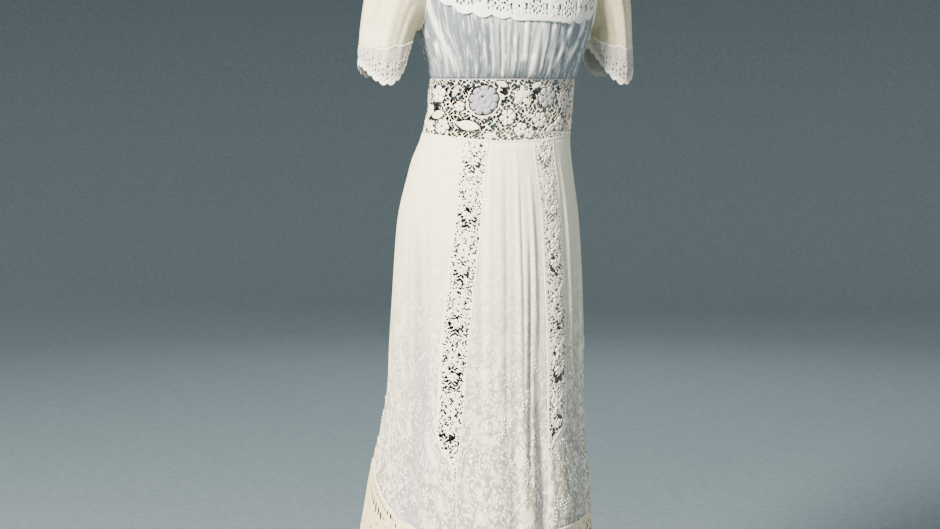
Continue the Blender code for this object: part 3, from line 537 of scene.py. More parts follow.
class Draft:
    """A drafting board: where a piece has cloth, and its relief and shade."""

    def __init__(self, x: Array, y: Array, filled: bool) -> None:
        """Start a board.

        Args:
            x: metres across, at each point of the grid.
            y: metres up, at each point of the grid.
            filled: whether the board starts as whole cloth.
        """
        self.x = x
        self.y = y
        self.solid = np.full(x.shape, 0.01 if filled else -0.01)
        self.relief = np.zeros(x.shape)
        self.tint = np.zeros(x.shape)
        self.dense = np.zeros(x.shape)

    def add(self, inside: Array, relief: float | Array = 0.0, tint: float | None = None) -> None:
        """Join a shape to the cloth.

        Args:
            inside: metres inside the shape's edge; below 0 outside.
            relief: metres that the shape stands proud.
            tint: shade of the shape, from 0 to 1.
        """
        self.solid = np.maximum(self.solid, inside)
        rise = relief * np.clip(inside / 0.0012, 0.0, 1.0)
        self.relief = np.maximum(self.relief, rise)
        if tint is not None:
            self.tint = np.where(inside > -0.0003, tint, self.tint)

    def cut(self, inside: Array) -> None:
        """Cut a shape out of the cloth."""
        self.solid = np.minimum(self.solid, -inside)

    def keep(self, inside: Array) -> None:
        """Trim the cloth to a shape."""
        self.solid = np.minimum(self.solid, inside)

    def net(self, pitch: float, thread: float, drift: float) -> None:
        """Lay a diagonal net of threads with small knots.

        Args:
            pitch: width of a mesh from corner to corner.
            thread: width of a thread.
            drift: metres that the hand-made meshes stray.
        """
        step = pitch / math.sqrt(2)
        x = self.x + drift * (np.sin(self.y * 430.0) + 0.7 * np.sin(self.x * 260.0 + self.y * 170.0))
        y = self.y + drift * (np.sin(self.x * 390.0 + 0.8) + 0.7 * np.sin(self.y * 240.0 - self.x * 190.0))
        rise = (x + y) / math.sqrt(2)
        fall = (x - y) / math.sqrt(2)
        to_rise = np.abs(np.mod(rise / step + 0.5, 1.0) - 0.5) * step
        to_fall = np.abs(np.mod(fall / step + 0.5, 1.0) - 0.5) * step
        lines = thread / 2 - np.minimum(to_rise, to_fall)
        knots = thread * 0.95 - np.hypot(to_rise, to_fall)
        self.add(np.maximum(lines, knots), 0.0002)

    def local(self, cx: float, cy: float, turn: float = 0.0) -> tuple:
        """Return coordinates about a point, turned by some degrees."""
        c = math.cos(math.radians(turn))
        s = math.sin(math.radians(turn))
        dx = self.x - cx
        dy = self.y - cy
        return dx * c + dy * s, dy * c - dx * s

    def disc(self, cx: float, cy: float, radius: float) -> Array:
        """Return metres inside a disc."""
        return radius - np.hypot(self.x - cx, self.y - cy)

    def oval(self, cx: float, cy: float, long: float, wide: float, turn: float) -> Array:
        """Return metres inside an oval."""
        u, v = self.local(cx, cy, turn)
        return (1.0 - np.hypot(u / long, v / wide)) * min(long, wide)

    def moat(self, inside: Array, cx: float, cy: float, bars: int, wide: float = 0.0021,
             bar: float = 0.0022) -> None:
        """Open the ground round a motif, all but a few bars.

        Args:
            inside: metres inside the motif's edge.
            cx: centre across.
            cy: centre up.
            bars: how many bars hold the motif.
            wide: width of the opening.
            bar: width of a bar.
        """
        u, v = self.local(cx, cy)
        turn = np.arctan2(v, u) * bars / 2 + 0.6
        held = bar / 2 - np.abs(np.sin(turn)) * np.hypot(u, v) * 2 / bars
        self.cut(np.minimum(np.minimum(-inside, inside + wide), -held))

    def flower(self, cx: float, cy: float, radius: float, petals: int, turn: float = 0.0,
               tint: float = 0.0, eye: float = 0.17, moat: int = 0) -> None:
        """Work a flower with raised petals, slits between them and an open eye.

        Args:
            cx: centre across.
            cy: centre up.
            radius: metres from the centre to a petal's tip.
            petals: how many petals.
            turn: degrees that the flower is turned.
            tint: shade of the flower.
            eye: the open eye's share of the radius.
            moat: how many bars cross the opening round it; none for no opening.
        """
        u, v = self.local(cx, cy, turn)
        out = np.hypot(u, v)
        round_it = np.arctan2(v, u) * petals / 2
        lobe = np.abs(np.cos(round_it))
        edge = radius * (0.7 + 0.3 * lobe ** 0.6)
        cup = np.clip(1.0 - ((out / radius - 0.66) / 0.34) ** 2, 0.0, 1.0)
        ring = np.clip(1.0 - np.abs(out / radius - 0.3) / 0.1, 0.0, 1.0)
        if moat:
            self.moat(edge - out, cx, cy, moat)
        self.add(edge - out, 0.0003 + 0.0008 * cup * (0.35 + 0.65 * lobe) + 0.0007 * ring, tint)
        slit = np.minimum(radius * 0.055 - np.abs(np.sin(round_it + math.pi / 2)) * out / petals * 2,
                          radius * 0.17 - np.abs(out - radius * 0.6))
        self.cut(slit)
        self.cut(self.disc(cx, cy, radius * eye))

    def leaf(self, cx: float, cy: float, long: float, wide: float, turn: float,
             tint: float = 0.0, holes: int = 4, moat: int = 0) -> None:
        """Work a pointed leaf with a raised edge and a row of slits.

        Args:
            cx: centre across.
            cy: centre up.
            long: metres from the centre to a tip.
            wide: metres from the centre line to the edge.
            turn: degrees that the leaf is turned.
            tint: shade of the leaf.
            holes: how many slits along its rib.
            moat: how many bars cross the opening round it; none for no opening.
        """
        u, v = self.local(cx, cy, turn)
        share = np.clip(1.0 - (u / long) ** 2, 0.0, 1.0)
        edge = wide * share ** 0.85
        inside = np.where(np.abs(u) < long, (edge - np.abs(v)) * 0.85, -np.hypot(np.abs(u) - long, v))
        cord = np.clip(1.0 - np.abs(edge - np.abs(v) - 0.0011) / 0.0011, 0.0, 1.0)
        rib = np.clip(1.0 - np.abs(v) / 0.0016, 0.0, 1.0)
        if moat:
            self.moat(inside, cx, cy, moat)
        self.add(inside, 0.0003 + 0.0006 * cord + 0.0004 * rib, tint)
        for number in range(holes):
            along = long * (-0.62 + 1.24 * (number + 0.5) / holes)
            slot = np.minimum(long * 0.34 / holes - np.abs(u - along), 0.00075 - np.abs(v))
            self.cut(slot)

    def rosette(self, cx: float, cy: float, radius: float, tint: float) -> None:
        """Work a full round flower of three rings of close petals.

        Args:
            cx: centre across.
            cy: centre up.
            radius: metres from the centre to the edge.
            tint: shade of the flower.
        """
        u, v = self.local(cx, cy, 12.0)
        out = np.hypot(u, v) / radius
        turn = np.arctan2(v, u)
        outer = np.abs(np.cos(turn * 4.5))
        inner = np.abs(np.cos(turn * 3.5 + 0.7))
        edge = radius * (0.9 + 0.1 * outer)
        petals = np.clip(1 - ((out - 0.8) / 0.18) ** 2, 0, 1) * (0.3 + 0.7 * outer ** 0.7)
        heart = np.clip(1 - ((out - 0.47) / 0.16) ** 2, 0, 1) * (0.3 + 0.7 * inner ** 0.7)
        knot = np.clip(1 - (out / 0.22) ** 2, 0, 1)
        self.moat(edge - out * radius, cx, cy, 12, 0.0024)
        self.add(edge - out * radius, 0.0005 + 0.0016 * petals + 0.002 * heart + 0.0022 * knot, tint)
        self.cut(self.disc(cx - 0.12 * radius, cy + 0.24 * radius, 0.0021))
        for number in range(9):
            way = 12.0 + 40.0 * number + 20.0
            far = math.radians(way)
            spot = (cx + 0.84 * radius * math.cos(far), cy + 0.84 * radius * math.sin(far))
            self.cut(self.oval(*spot, 0.0026, 0.001, way))

    def cord(self, points: list, wide: float) -> None:
        """Lay a raised cord along a line of points.

        Args:
            points: pairs of metres across and up.
            wide: width of the cord.
        """
        for (ax, ay), (bx, by) in zip(points, points[1:]):
            size = (bx - ax) ** 2 + (by - ay) ** 2
            share = np.clip(((self.x - ax) * (bx - ax) + (self.y - ay) * (by - ay)) / size, 0.0, 1.0)
            away = np.hypot(self.x - ax - share * (bx - ax), self.y - ay - share * (by - ay))
            self.add(wide / 2 - away, 0.0006)

    def scroll(self, cx: float, cy: float, radius: float, first: float, last: float, wide: float) -> None:
        """Lay a curved cord round a centre.

        Args:
            cx: centre across.
            cy: centre up.
            radius: metres from the centre.
            first: degrees where it starts.
            last: degrees where it ends.
            wide: width of the cord.
        """
        ways = [math.radians(first + (last - first) * stop) for stop in np.linspace(0.0, 1.0, 9)]
        self.cord([(cx + radius * math.cos(way), cy + radius * math.sin(way)) for way in ways], wide)

    def eyelets(self, cx: float, cy: float, radius: float, count: int, hole: float) -> None:
        """Cut a ring of small holes with a raised edge."""
        for number in range(count):
            way = 2 * math.pi * number / count
            hx = cx + radius * math.cos(way)
            hy = cy + radius * math.sin(way)
            rim = 0.0011 - np.abs(np.hypot(self.x - hx, self.y - hy) - hole - 0.001)
            self.relief = np.maximum(self.relief, 0.0005 * np.clip(rim / 0.0011, 0.0, 1.0))
            self.cut(self.disc(hx, hy, hole))


@dataclass
class Loom:
    """Turns a draft into a thin closed piece of cloth or lace."""

    name: str
    place: Place
    columns: int
    rows: int
    size: Place | None = None
    wrap: bool = False
    block: int = 4
    wall: float = 0.0007
    lift: float = 0.0001
    flat_relief: float = 1e-6
    filled: bool = True
    u: Array = field(init=False)
    v: Array = field(init=False)
    draft: Draft = field(init=False)

    def __post_init__(self) -> None:
        """Lay out the grid and its drafting board."""
        self.u, self.v = np.meshgrid(np.linspace(0, 1, self.columns + 1), np.linspace(0, 1, self.rows + 1))
        flat = self.size(self.u, self.v)
        self.draft = Draft(flat[0], flat[1], self.filled)

    def normals(self, spots: Array) -> Array:
        """Return the outward normals at the grid's points."""
        if self.wrap:
            padded = np.concatenate([spots[:, -2:-1], spots, spots[:, 1:2]], axis=1)
            across = np.gradient(padded, axis=1)[:, 1:-1]
        else:
            across = np.gradient(spots, axis=1)
        up = np.gradient(spots, axis=0)
        return unit(np.cross(across, up))

    def weave(self, finish: "Finish") -> bpy.types.Object:
        """Make the piece.

        Args:
            finish: the finish that the piece wears.

        Returns:
            The piece as an object at the origin.
        """
        draft = self.draft
        spots = self.place(self.u, self.v)
        normal = self.normals(spots)
        rounded = np.sqrt(np.clip(draft.solid / 0.0014, 0.0, 1.0))
        high = self.lift + self.wall * (0.45 + 0.55 * rounded) + draft.relief
        outer = spots + normal * high[..., None]
        inner = spots + normal * self.lift
        flat = np.stack([draft.x, draft.y, draft.tint, draft.dense], axis=-1)
        values = np.concatenate([outer, inner, flat], axis=-1)
        verts, outer_side, inner_side = self.trace(draft.solid, values)
        outer_side, inner_side = self.largest(outer_side, inner_side, len(verts))
        return self.close(verts, outer_side, inner_side, finish)

    def trace(self, solid: Array, values: Array) -> tuple:
        """Follow the cloth's edges across the grid.

        Args:
            solid: metres inside the cloth at each grid point.
            values: what each vertex carries, at each grid point.

        Returns:
            The vertices' values, and the outer and the inner side's polygons,
            grouped by corner count.
        """
        inside = solid > 0
        ids = np.full(solid.shape, -1)
        ids[inside] = np.arange(inside.sum())
        verts = [values[inside]]
        count = int(inside.sum())
        edge_ids = []
        for axis in (1, 0):
            a = solid[:, :-1] if axis else solid[:-1]
            b = solid[:, 1:] if axis else solid[1:]
            crossed = (a > 0) != (b > 0)
            t = np.clip(a[crossed] / (a[crossed] - b[crossed]), 0.08, 0.92)[:, None]
            va = (values[:, :-1] if axis else values[:-1])[crossed]
            vb = (values[:, 1:] if axis else values[1:])[crossed]
            verts.append(va + (vb - va) * t)
            numbers = np.full(crossed.shape, -1)
            numbers[crossed] = count + np.arange(crossed.sum())
            count += int(crossed.sum())
            edge_ids.append(numbers)
        level_ids, upright_ids = edge_ids
        if self.wrap:
            ids[:, -1] = ids[:, 0]
            upright_ids[:, -1] = upright_ids[:, 0]
        corners = [ids[:-1, :-1], ids[:-1, 1:], ids[1:, 1:], ids[1:, :-1]]
        sides = [level_ids[:-1], upright_ids[:, 1:], level_ids[1:], upright_ids[:, :-1]]
        case = sum((corner >= 0).astype(int) << bit for bit, corner in enumerate(corners))
        common: dict = {}
        for kind in range(1, 15):
            here = case == kind
            if here.any():
                ring = self.ring(kind, corners, sides, here)
                common.setdefault(ring.shape[1], []).append(ring)
        faces = []
        flat = self.draft.relief < self.flat_relief
        for calm in (flat, np.full(flat.shape, True)):
            side = {size: list(group) for size, group in common.items()}
            whole, blocks = self.merge(case == 15, ids, calm)
            here = (case == 15) & ~whole
            if here.any():
                side.setdefault(4, []).append(self.ring(15, corners, sides, here))
            for polygon in blocks:
                side.setdefault(len(polygon), []).append(np.array([polygon]))
            faces.append({size: np.concatenate(group) for size, group in side.items()})
        return np.concatenate(verts), faces[0], faces[1]

    @staticmethod
    def ring(kind: int, corners: list, sides: list, here: Array) -> Array:
        """Return the polygons of one kind of cell.

        Args:
            kind: which corners are inside, one bit each.
            corners: vertex numbers at the cells' corners.
            sides: vertex numbers on the cells' sides.
            here: which cells are of this kind.
        """
        ring = []
        for corner in range(4):
            following = (corner + 1) % 4
            if kind >> corner & 1:
                ring.append(corners[corner][here])
            if (kind >> corner & 1) != (kind >> following & 1):
                ring.append(sides[corner][here])
        return np.stack(ring, axis=1)

    def merge(self, full: Array, ids: Array, flat: Array) -> tuple:
        """Join whole flat cells into larger ones.

        Args:
            full: which cells are whole.
            ids: vertex numbers of the grid points.
            flat: which grid points have no relief.

        Returns:
            A mask of the cells that were joined, and the joined polygons.
        """
        size = self.block
        taken = np.zeros(full.shape, bool)
        if size < 2:
            return taken, []
        rows, columns = full.shape[0] // size, full.shape[1] // size
        calm = np.zeros((rows + 2, columns + 2), bool)
        plain = full & flat[:-1, :-1] & flat[1:, 1:] & flat[:-1, 1:] & flat[1:, :-1]
        cut = plain[:rows * size, :columns * size].reshape(rows, size, columns, size)
        calm[1:-1, 1:-1] = cut.all(axis=(1, 3))
        polygons = []
        for row, column in zip(*np.nonzero(calm[1:-1, 1:-1])):
            j, i = row * size, column * size
            taken[j:j + size, i:i + size] = True
            polygon = []
            stops = (
                (calm[row, column + 1], [(j, i + k) for k in range(size)]),
                (calm[row + 1, column + 2], [(j + k, i + size) for k in range(size)]),
                (calm[row + 2, column + 1], [(j + size, i + size - k) for k in range(size)]),
                (calm[row + 1, column], [(j + size - k, i) for k in range(size)]),
            )
            for joined, line in stops:
                polygon.extend(int(ids[spot]) for spot in (line[:1] if joined else line))
            polygons.append(polygon)
        return taken, polygons

    @staticmethod
    def largest(polygons: dict, others: dict, count: int) -> tuple:
        """Keep only the cloth that hangs together.

        Args:
            polygons: the outer side's polygons, grouped by corner count.
            others: the inner side's polygons.
            count: how many vertices there are.

        Returns:
            Both sides' polygons of the largest connected part.
        """
        label = np.arange(count)
        while True:
            before = label.copy()
            for group in polygons.values():
                least = label[group].min(axis=1)
                for corner in range(group.shape[1]):
                    np.minimum.at(label, group[:, corner], least)
            label = label[label]
            label = label[label]
            if (label == before).all():
                break
        used = np.concatenate([group.ravel() for group in polygons.values()])
        names, sizes = np.unique(label[used], return_counts=True)
        main = names[sizes.argmax()]
        kept = []
        for side in (polygons, others):
            parts = {size: group[label[group[:, 0]] == main] for size, group in side.items()}
            kept.append({size: group for size, group in parts.items() if len(group)})
        return tuple(kept)

    def close(self, verts: Array, outer_side: dict, inner_side: dict, finish: "Finish") -> bpy.types.Object:
        """Give the traced cloth its inner side and its edges.

        Args:
            verts: the vertices' values.
            outer_side: the outer side's polygons, grouped by corner count.
            inner_side: the inner side's polygons.
            finish: the finish that the piece wears.

        Returns:
            The piece.
        """
        groups, numbers = [], []
        for side in (outer_side, inner_side):
            group = list(side.values())
            used = np.unique(np.concatenate([part.ravel() for part in group]))
            place = np.full(len(verts), -1)
            place[used] = np.arange(len(used))
            groups.append(group)
            numbers.append((used, place))
        (used, place), (used_in, place_in) = numbers
        first = len(used)
        total = len(verts)
        edges = np.concatenate([
            np.stack([part, np.roll(part, -1, axis=1)], axis=-1).reshape(-1, 2) for part in groups[0]
        ])
        forth = edges[:, 0] * total + edges[:, 1]
        back = edges[:, 1] * total + edges[:, 0]
        rim = edges[~np.isin(forth, back)]
        faces = []
        for part in groups[0]:
            faces.extend(place[part].tolist())
        for part in groups[1]:
            faces.extend((place_in[part][:, ::-1] + first).tolist())
        faces.extend(np.stack([place[rim[:, 1]], place[rim[:, 0]],
                               place_in[rim[:, 0]] + first, place_in[rim[:, 1]] + first], axis=1).tolist())
        points = np.concatenate([verts[used, :3], verts[used_in, 3:6]])
        # Marks the inner side, which the finishes paint with shade.
        inside = np.concatenate([np.zeros(len(used)), np.ones(len(used_in))])[:, None]
        flat = np.concatenate([np.concatenate([verts[used, 6:], verts[used_in, 6:]]), inside], axis=1)
        return make_object(self.name, points, faces, finish, flat)


def make_object(name: str, points: Array, faces: list, finish: "Finish",
                flat: Array | None = None) -> bpy.types.Object:
    """Make a smooth mesh object that rides on the dress.

    Args:
        name: the piece's name.
        points: vertices in metres.
        faces: vertex numbers of each face.
        finish: the finish that the piece wears.
        flat: metres across and up, tint, density and painted shade, and inner side at each vertex.

    Returns:
        The object.
    """
    mesh = bpy.data.meshes.new(name)
    mesh.from_pydata(points.tolist(), [], faces)
    mesh.update()
    mesh.shade_smooth()
    if flat is not None:
        cut = mesh.attributes.new("cut", "FLOAT_VECTOR", "POINT")
        cut.data.foreach_set("vector", np.ascontiguousarray(flat[:, :3], np.float32).ravel())
        for column, label in ((3, "dense"), (4, "inside")):
            values = mesh.attributes.new(label, "FLOAT", "POINT")
            values.data.foreach_set("value", np.ascontiguousarray(flat[:, column], np.float32))
    piece = bpy.data.objects.new(name, mesh)
    bpy.context.scene.collection.objects.link(piece)
    mesh.materials.append(finish.material())
    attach(piece, "root")
    LOG.info("made %s with %d faces", name, len(faces))
    return piece


# Finishes


class Wiring:
    """Short ways to place and join shader nodes in one tree."""

    def __init__(self, tree: bpy.types.NodeTree) -> None:
        """Keep the tree."""
        self.tree = tree

    def node(self, kind: str, inputs: dict | None = None, **settings: object) -> bpy.types.Node:
        """Place a node.

        Args:
            kind: the node's type.
            inputs: values or sockets for its inputs, by name or number.
            settings: the node's own properties.

        Returns:
            The node.
        """
        made = self.tree.nodes.new(kind)
        for key, value in settings.items():
            setattr(made, key, value)
        for key, value in (inputs or {}).items():
            if isinstance(value, bpy.types.NodeSocket):
                self.tree.links.new(value, made.inputs[key])
            else:
                made.inputs[key].default_value = value
        return made

    def carried(self, name: str, output: str = "Fac") -> bpy.types.NodeSocket:
        """Return a value that the mesh carries at each vertex."""
        return self.node("ShaderNodeAttribute", attribute_name=name).outputs[output]

    def math(self, operation: str, *values: object, clamp: bool = False) -> bpy.types.NodeSocket:
        """Return the result of a sum on numbers or sockets."""
        inputs = dict(enumerate(values))
        return self.node("ShaderNodeMath", inputs, operation=operation, use_clamp=clamp).outputs[0]

    def times(self, first: object, second: object) -> bpy.types.NodeSocket:
        """Return a product of numbers or sockets."""
        return self.math("MULTIPLY", first, second)

    def join(self, value: bpy.types.NodeSocket, node: bpy.types.Node, name: str) -> None:
        """Link a value to a node's named input."""
        self.tree.links.new(value, node.inputs[name])

    def mix(self, factor: object, first: object, second: object) -> bpy.types.NodeSocket:
        """Return a mix of two colours."""
        made = self.node("ShaderNodeMix", {0: factor, 6: first, 7: second}, data_type="RGBA")
        return made.outputs[2]

    def ramp(self, value: object, low: float, high: float, first: float = 0.0,
             last: float = 1.0) -> bpy.types.NodeSocket:
        """Return a value moved smoothly from one range to another."""
        inputs = {0: value, 1: low, 2: high, 3: first, 4: last}
        return self.node("ShaderNodeMapRange", inputs, interpolation_type="SMOOTHSTEP").outputs[0]


class Groups:
    """Node groups that the finishes share, each made once."""

    @classmethod
    def start(cls, name: str, inputs: tuple, outputs: tuple) -> tuple:
        """Start a node group with named sockets.

        Args:
            name: the group's name.
            inputs: pairs of name and default value.
            outputs: names of the outputs.

        Returns:
            The tree, its wiring, its inputs and its output node.
        """
        tree = bpy.data.node_groups.new(name, "ShaderNodeTree")
        for label, value in inputs:
            kind = "NodeSocketVector" if value is None else "NodeSocketFloat"
            socket = tree.interface.new_socket(name=label, in_out="INPUT", socket_type=kind)
            if value is not None:
                socket.default_value = value
        for label in outputs:
            tree.interface.new_socket(name=label, in_out="OUTPUT", socket_type="NodeSocketFloat")
        wires = Wiring(tree)
        return tree, wires, wires.node("NodeGroupInput").outputs, wires.node("NodeGroupOutput")

    @classmethod
    @cache
    def weave(cls) -> bpy.types.NodeTree:
        """Return the plain weave: crossing threads of uneven thickness."""
        tree, wires, given, result = cls.start(
            "weave", (("Vector", None), ("Threads", 1400.0), ("Slub", 0.5)), ("Height", "Gap"))
        place = wires.node("ShaderNodeSeparateXYZ", {0: given["Vector"]}).outputs
        waves = []
        for axis, stretch in ((0, (1.0, 0.06, 1.0)), (1, (0.06, 1.0, 1.0))):
            run = wires.times(wires.times(place[axis], given["Threads"]), math.pi)
            waves.append(wires.math("ABSOLUTE", wires.math("SINE", run)))
            long = wires.node("ShaderNodeMapping", {"Vector": given["Vector"], "Scale": stretch}).outputs[0]
            slub = wires.node("ShaderNodeTexNoise",
                              {"Vector": long, "Scale": 420.0, "Detail": 2.0}).outputs[0]
            waves.append(wires.times(slub, given["Slub"]))
        height = wires.math("MAXIMUM", waves[0], waves[2])
        height = wires.math("ADD", height, wires.math("ADD", waves[1], waves[3]))
        gap = wires.math("SUBTRACT", 1.0, wires.math("MAXIMUM", waves[0], waves[2]), clamp=True)
        wires.join(height, result, "Height")
        wires.join(gap, result, "Gap")
        return tree

    @classmethod
    @cache
    def age(cls) -> bpy.types.NodeTree:
        """Return the marks of age: cloudy patches, fine mottle and specks."""
        tree, wires, given, result = cls.start(
            "age", (("Vector", None), ("Scale", 9.0)), ("Cloud", "Mottle", "Speck"))
        cloud = wires.node("ShaderNodeTexNoise", {
            "Vector": given["Vector"], "Scale": given["Scale"], "Detail": 3.0, "Roughness": 0.55}).outputs[0]
        fine = wires.node("ShaderNodeTexNoise", {
            "Vector": given["Vector"], "Scale": 160.0, "Detail": 3.0, "Roughness": 0.7}).outputs[0]
        dots = wires.node("ShaderNodeTexVoronoi",
                          {"Vector": given["Vector"], "Scale": 34.0}).outputs["Distance"]
        wires.join(wires.ramp(cloud, 0.38, 0.68), result, "Cloud")
        wires.join(wires.ramp(fine, 0.35, 0.7), result, "Mottle")
        wires.join(wires.ramp(dots, 0.05, 0.09, 1.0, 0.0), result, "Speck")
        return tree

    @classmethod
    @cache
    def floss(cls) -> bpy.types.NodeTree:
        """Return the thread of lace and stitches: fine slanting strands."""
        tree, wires, given, result = cls.start(
            "floss", (("Vector", None), ("Strands", 900.0)), ("Height", "Shade"))
        wave = wires.node("ShaderNodeTexWave", {
            "Vector": given["Vector"], "Scale": given["Strands"], "Distortion": 3.5, "Detail": 2.0,
            "Detail Scale": 1.2}, bands_direction="DIAGONAL").outputs["Fac"]
        knots = wires.node("ShaderNodeTexVoronoi", {
            "Vector": given["Vector"], "Scale": given["Strands"]}).outputs["Distance"]
        height = wires.math("ADD", wires.times(wave, 0.5), wires.times(knots, 0.7))
        wires.join(height, result, "Height")
        wires.join(wires.ramp(knots, 0.1, 0.6), result, "Shade")
        return tree

    @classmethod
    @cache
    def whitework(cls) -> bpy.types.NodeTree:
        """Return close white embroidery: small leaves with shaded ground between."""
        tree, wires, given, result = cls.start(
            "whitework", (("Vector", None), ("Leaves", 265.0)), ("Leaf", "Ground"))
        bent = wires.node("ShaderNodeTexNoise", {"Vector": given["Vector"], "Scale": 60.0, "Detail": 1.0})
        shift = wires.node("ShaderNodeVectorMath", {
            0: bent.outputs["Color"], 1: (0.016, 0.016, 0.0)}, operation="MULTIPLY").outputs[0]
        moved = wires.node("ShaderNodeVectorMath", {0: given["Vector"], 1: shift}, operation="ADD").outputs[0]
        slim = wires.node("ShaderNodeMapping", {
            "Vector": moved, "Rotation": (0.0, 0.0, 0.6), "Scale": (1.0, 0.55, 1.0)}).outputs[0]
        cells = wires.node("ShaderNodeTexVoronoi", {
            "Vector": slim, "Scale": given["Leaves"], "Randomness": 0.8}).outputs["Distance"]
        sprays = wires.node("ShaderNodeTexNoise", {
            "Vector": given["Vector"], "Scale": 26.0, "Detail": 1.5}).outputs[0]
        leaf = wires.ramp(cells, 0.28, 0.35, 1.0, 0.0)
        where = wires.ramp(sprays, 0.3, 0.48)
        wires.join(wires.times(leaf, where), result, "Leaf")
        ground = wires.times(wires.ramp(cells, 0.42, 0.52), where)
        wires.join(ground, result, "Ground")
        return tree


Colour = tuple[float, float, float, float]


@dataclass(frozen=True)
class Finish:
    """What every finish has: a name, a slot and its colours."""

    name: str
    slot: Slot
    colour: Colour
    shade: Colour
    aged: Colour
    rough: float = 0.82
    sheen: float = 0.25
    bump: float = 0.35
    # Painted shade on the side turned to the wearer: its colour and how much of it is mixed in.
    inner_shade_colour: Colour = (0.1, 0.11, 0.12, 1)
    inner_shade_amount: float = 0.8

    def material(self) -> bpy.types.Material:
        """Return the material, made once."""
        label = f"{self.name}_finish"
        found = bpy.data.materials.get(label)
        if found:
            return found
        made = bpy.data.materials.new(label)
        made.use_nodes = True
        wires = Wiring(made.node_tree)
        shader = made.node_tree.nodes["Principled BSDF"]
        shader.inputs["Sheen Weight"].default_value = self.sheen
        shader.inputs["Sheen Roughness"].default_value = 0.5
        shader.inputs["Specular IOR Level"].default_value = 0.25
        shader.inputs["Metallic"].default_value = 0.0
        self.dress(wires, shader)
        return made

    def sources(self, wires: Wiring) -> tuple:
        """Return the cut's coordinates, the place in space and the marks of age."""
        space = wires.node("ShaderNodeTexCoord").outputs["Object"]
        age = wires.node("ShaderNodeGroup", node_tree=Groups.age())
        wires.join(space, age, "Vector")
        return wires.carried("cut", "Vector"), space, age

    def paint(self, wires: Wiring, shader: bpy.types.Node, colour: object) -> None:
        """Feed a colour to the shader, with painted shade on the side turned to the wearer."""
        colour = wires.mix(wires.times(wires.carried("inside"), self.inner_shade_amount), colour, self.inner_shade_colour)
        wires.join(colour, shader, "Base Color")

    def height(self, wires: Wiring, shader: bpy.types.Node, value: object, distance: float) -> None:
        """Feed a height to the shader's normal through a bump."""
        bump = wires.node("ShaderNodeBump", {"Height": value, "Strength": self.bump, "Distance": distance})
        wires.join(bump.outputs[0], shader, "Normal")

    def dress(self, wires: Wiring, shader: bpy.types.Node) -> None:
        """Wire the finish; each kind of finish has its own way."""
        raise NotImplementedError


@dataclass(frozen=True)
class ClothFinish(Finish):
    """Woven cotton, plain or sheer, with white embroidery lower down."""

    threads: float = 1500.0
    sheer: float = 1.0
    streaks: float = 0.55
    whitework: float = 0.0
    work_top: float = -0.42
    work_full: float = -0.92
    ground: Colour = (0.88, 0.8, 0.63, 1)
    mottle: float = 0.18
    # Painted shade in the fold troughs: how much is mixed in, and its colour.
    trough_shade_scale: float = 0.8
    trough_shade: Colour = (0.34, 0.34, 0.36, 1)

    def dress(self, wires: Wiring, shader: bpy.types.Node) -> None:
        """Wire weave, age, embroidery, sheerness and painted shade."""
        cut, space, age = self.sources(wires)
        dense = wires.carried("dense")
        weave = wires.node("ShaderNodeGroup", node_tree=Groups.weave())
        wires.join(cut, weave, "Vector")
        weave.inputs["Threads"].default_value = self.threads
        colour = wires.mix(wires.times(age.outputs["Cloud"], 0.55), self.colour, self.aged)
        colour = wires.mix(wires.times(age.outputs["Mottle"], self.mottle), colour, self.shade)
        colour = wires.mix(wires.times(age.outputs["Speck"], 0.1), colour, self.aged)
        height = wires.times(weave.outputs["Height"], 0.25)
        rough = wires.ramp(age.outputs["Mottle"], 0.0, 1.0, self.rough - 0.06, self.rough + 0.08)
        if self.whitework:
            work = wires.node("ShaderNodeGroup", node_tree=Groups.whitework())
            wires.join(cut, work, "Vector")
            up = wires.node("ShaderNodeSeparateXYZ", {0: space}).outputs[2]
            low = wires.ramp(up, self.work_full, self.work_top, 1.0, 0.0)
            colour = wires.mix(wires.times(low, 0.75), colour, self.ground)
            ground = wires.times(work.outputs["Ground"], wires.times(low, self.whitework))
            leaf = wires.times(work.outputs["Leaf"], low)
            colour = wires.mix(ground, colour, self.shade)
        # Painted shade in the fold troughs, and on the sleeve's inner side, where the mesh marks them.
        if self.sheer >= 1.0:
            deep = wires.times(dense, self.trough_shade_scale)
            colour = wires.mix(deep, colour, self.trough_shade)
        if self.whitework:
            colour = wires.mix(wires.times(leaf, 0.92), colour, (0.99, 0.96, 0.88, 1))
            height = wires.math("ADD", height, wires.times(leaf, 2.2))
        wires.join(rough, shader, "Roughness")
        if self.sheer < 1.0:
            long = wires.node("ShaderNodeMapping", {"Vector": cut, "Scale": (1.0, 0.14, 1.0)}).outputs[0]
            streak = wires.node("ShaderNodeTexNoise",
                                {"Vector": long, "Scale": 210.0, "Detail": 3.0}).outputs[0]
            streak = wires.times(wires.ramp(streak, 0.53, 0.62), self.streaks)
            dense = wires.math("ADD", dense, streak, clamp=True)
            # Painted shade: thin voile, with few layers, is mixed towards the blue-grey of the dark inside
            # seen through it.
            thin = wires.times(wires.math("SUBTRACT", 1.0, dense), 0.9)
            colour = wires.mix(thin, colour, self.shade)
            cover = wires.math("ADD", self.sheer, wires.times(dense, 1.0 - self.sheer))
            patch = wires.times(age.outputs["Mottle"], 0.1)
            open_ = wires.times(weave.outputs["Gap"], 0.14)
            cover = wires.math("SUBTRACT", wires.math("ADD", cover, patch), open_, clamp=True)
            wires.join(cover, shader, "Alpha")
        self.paint(wires, shader, colour)
        self.height(wires, shader, height, 0.0006)


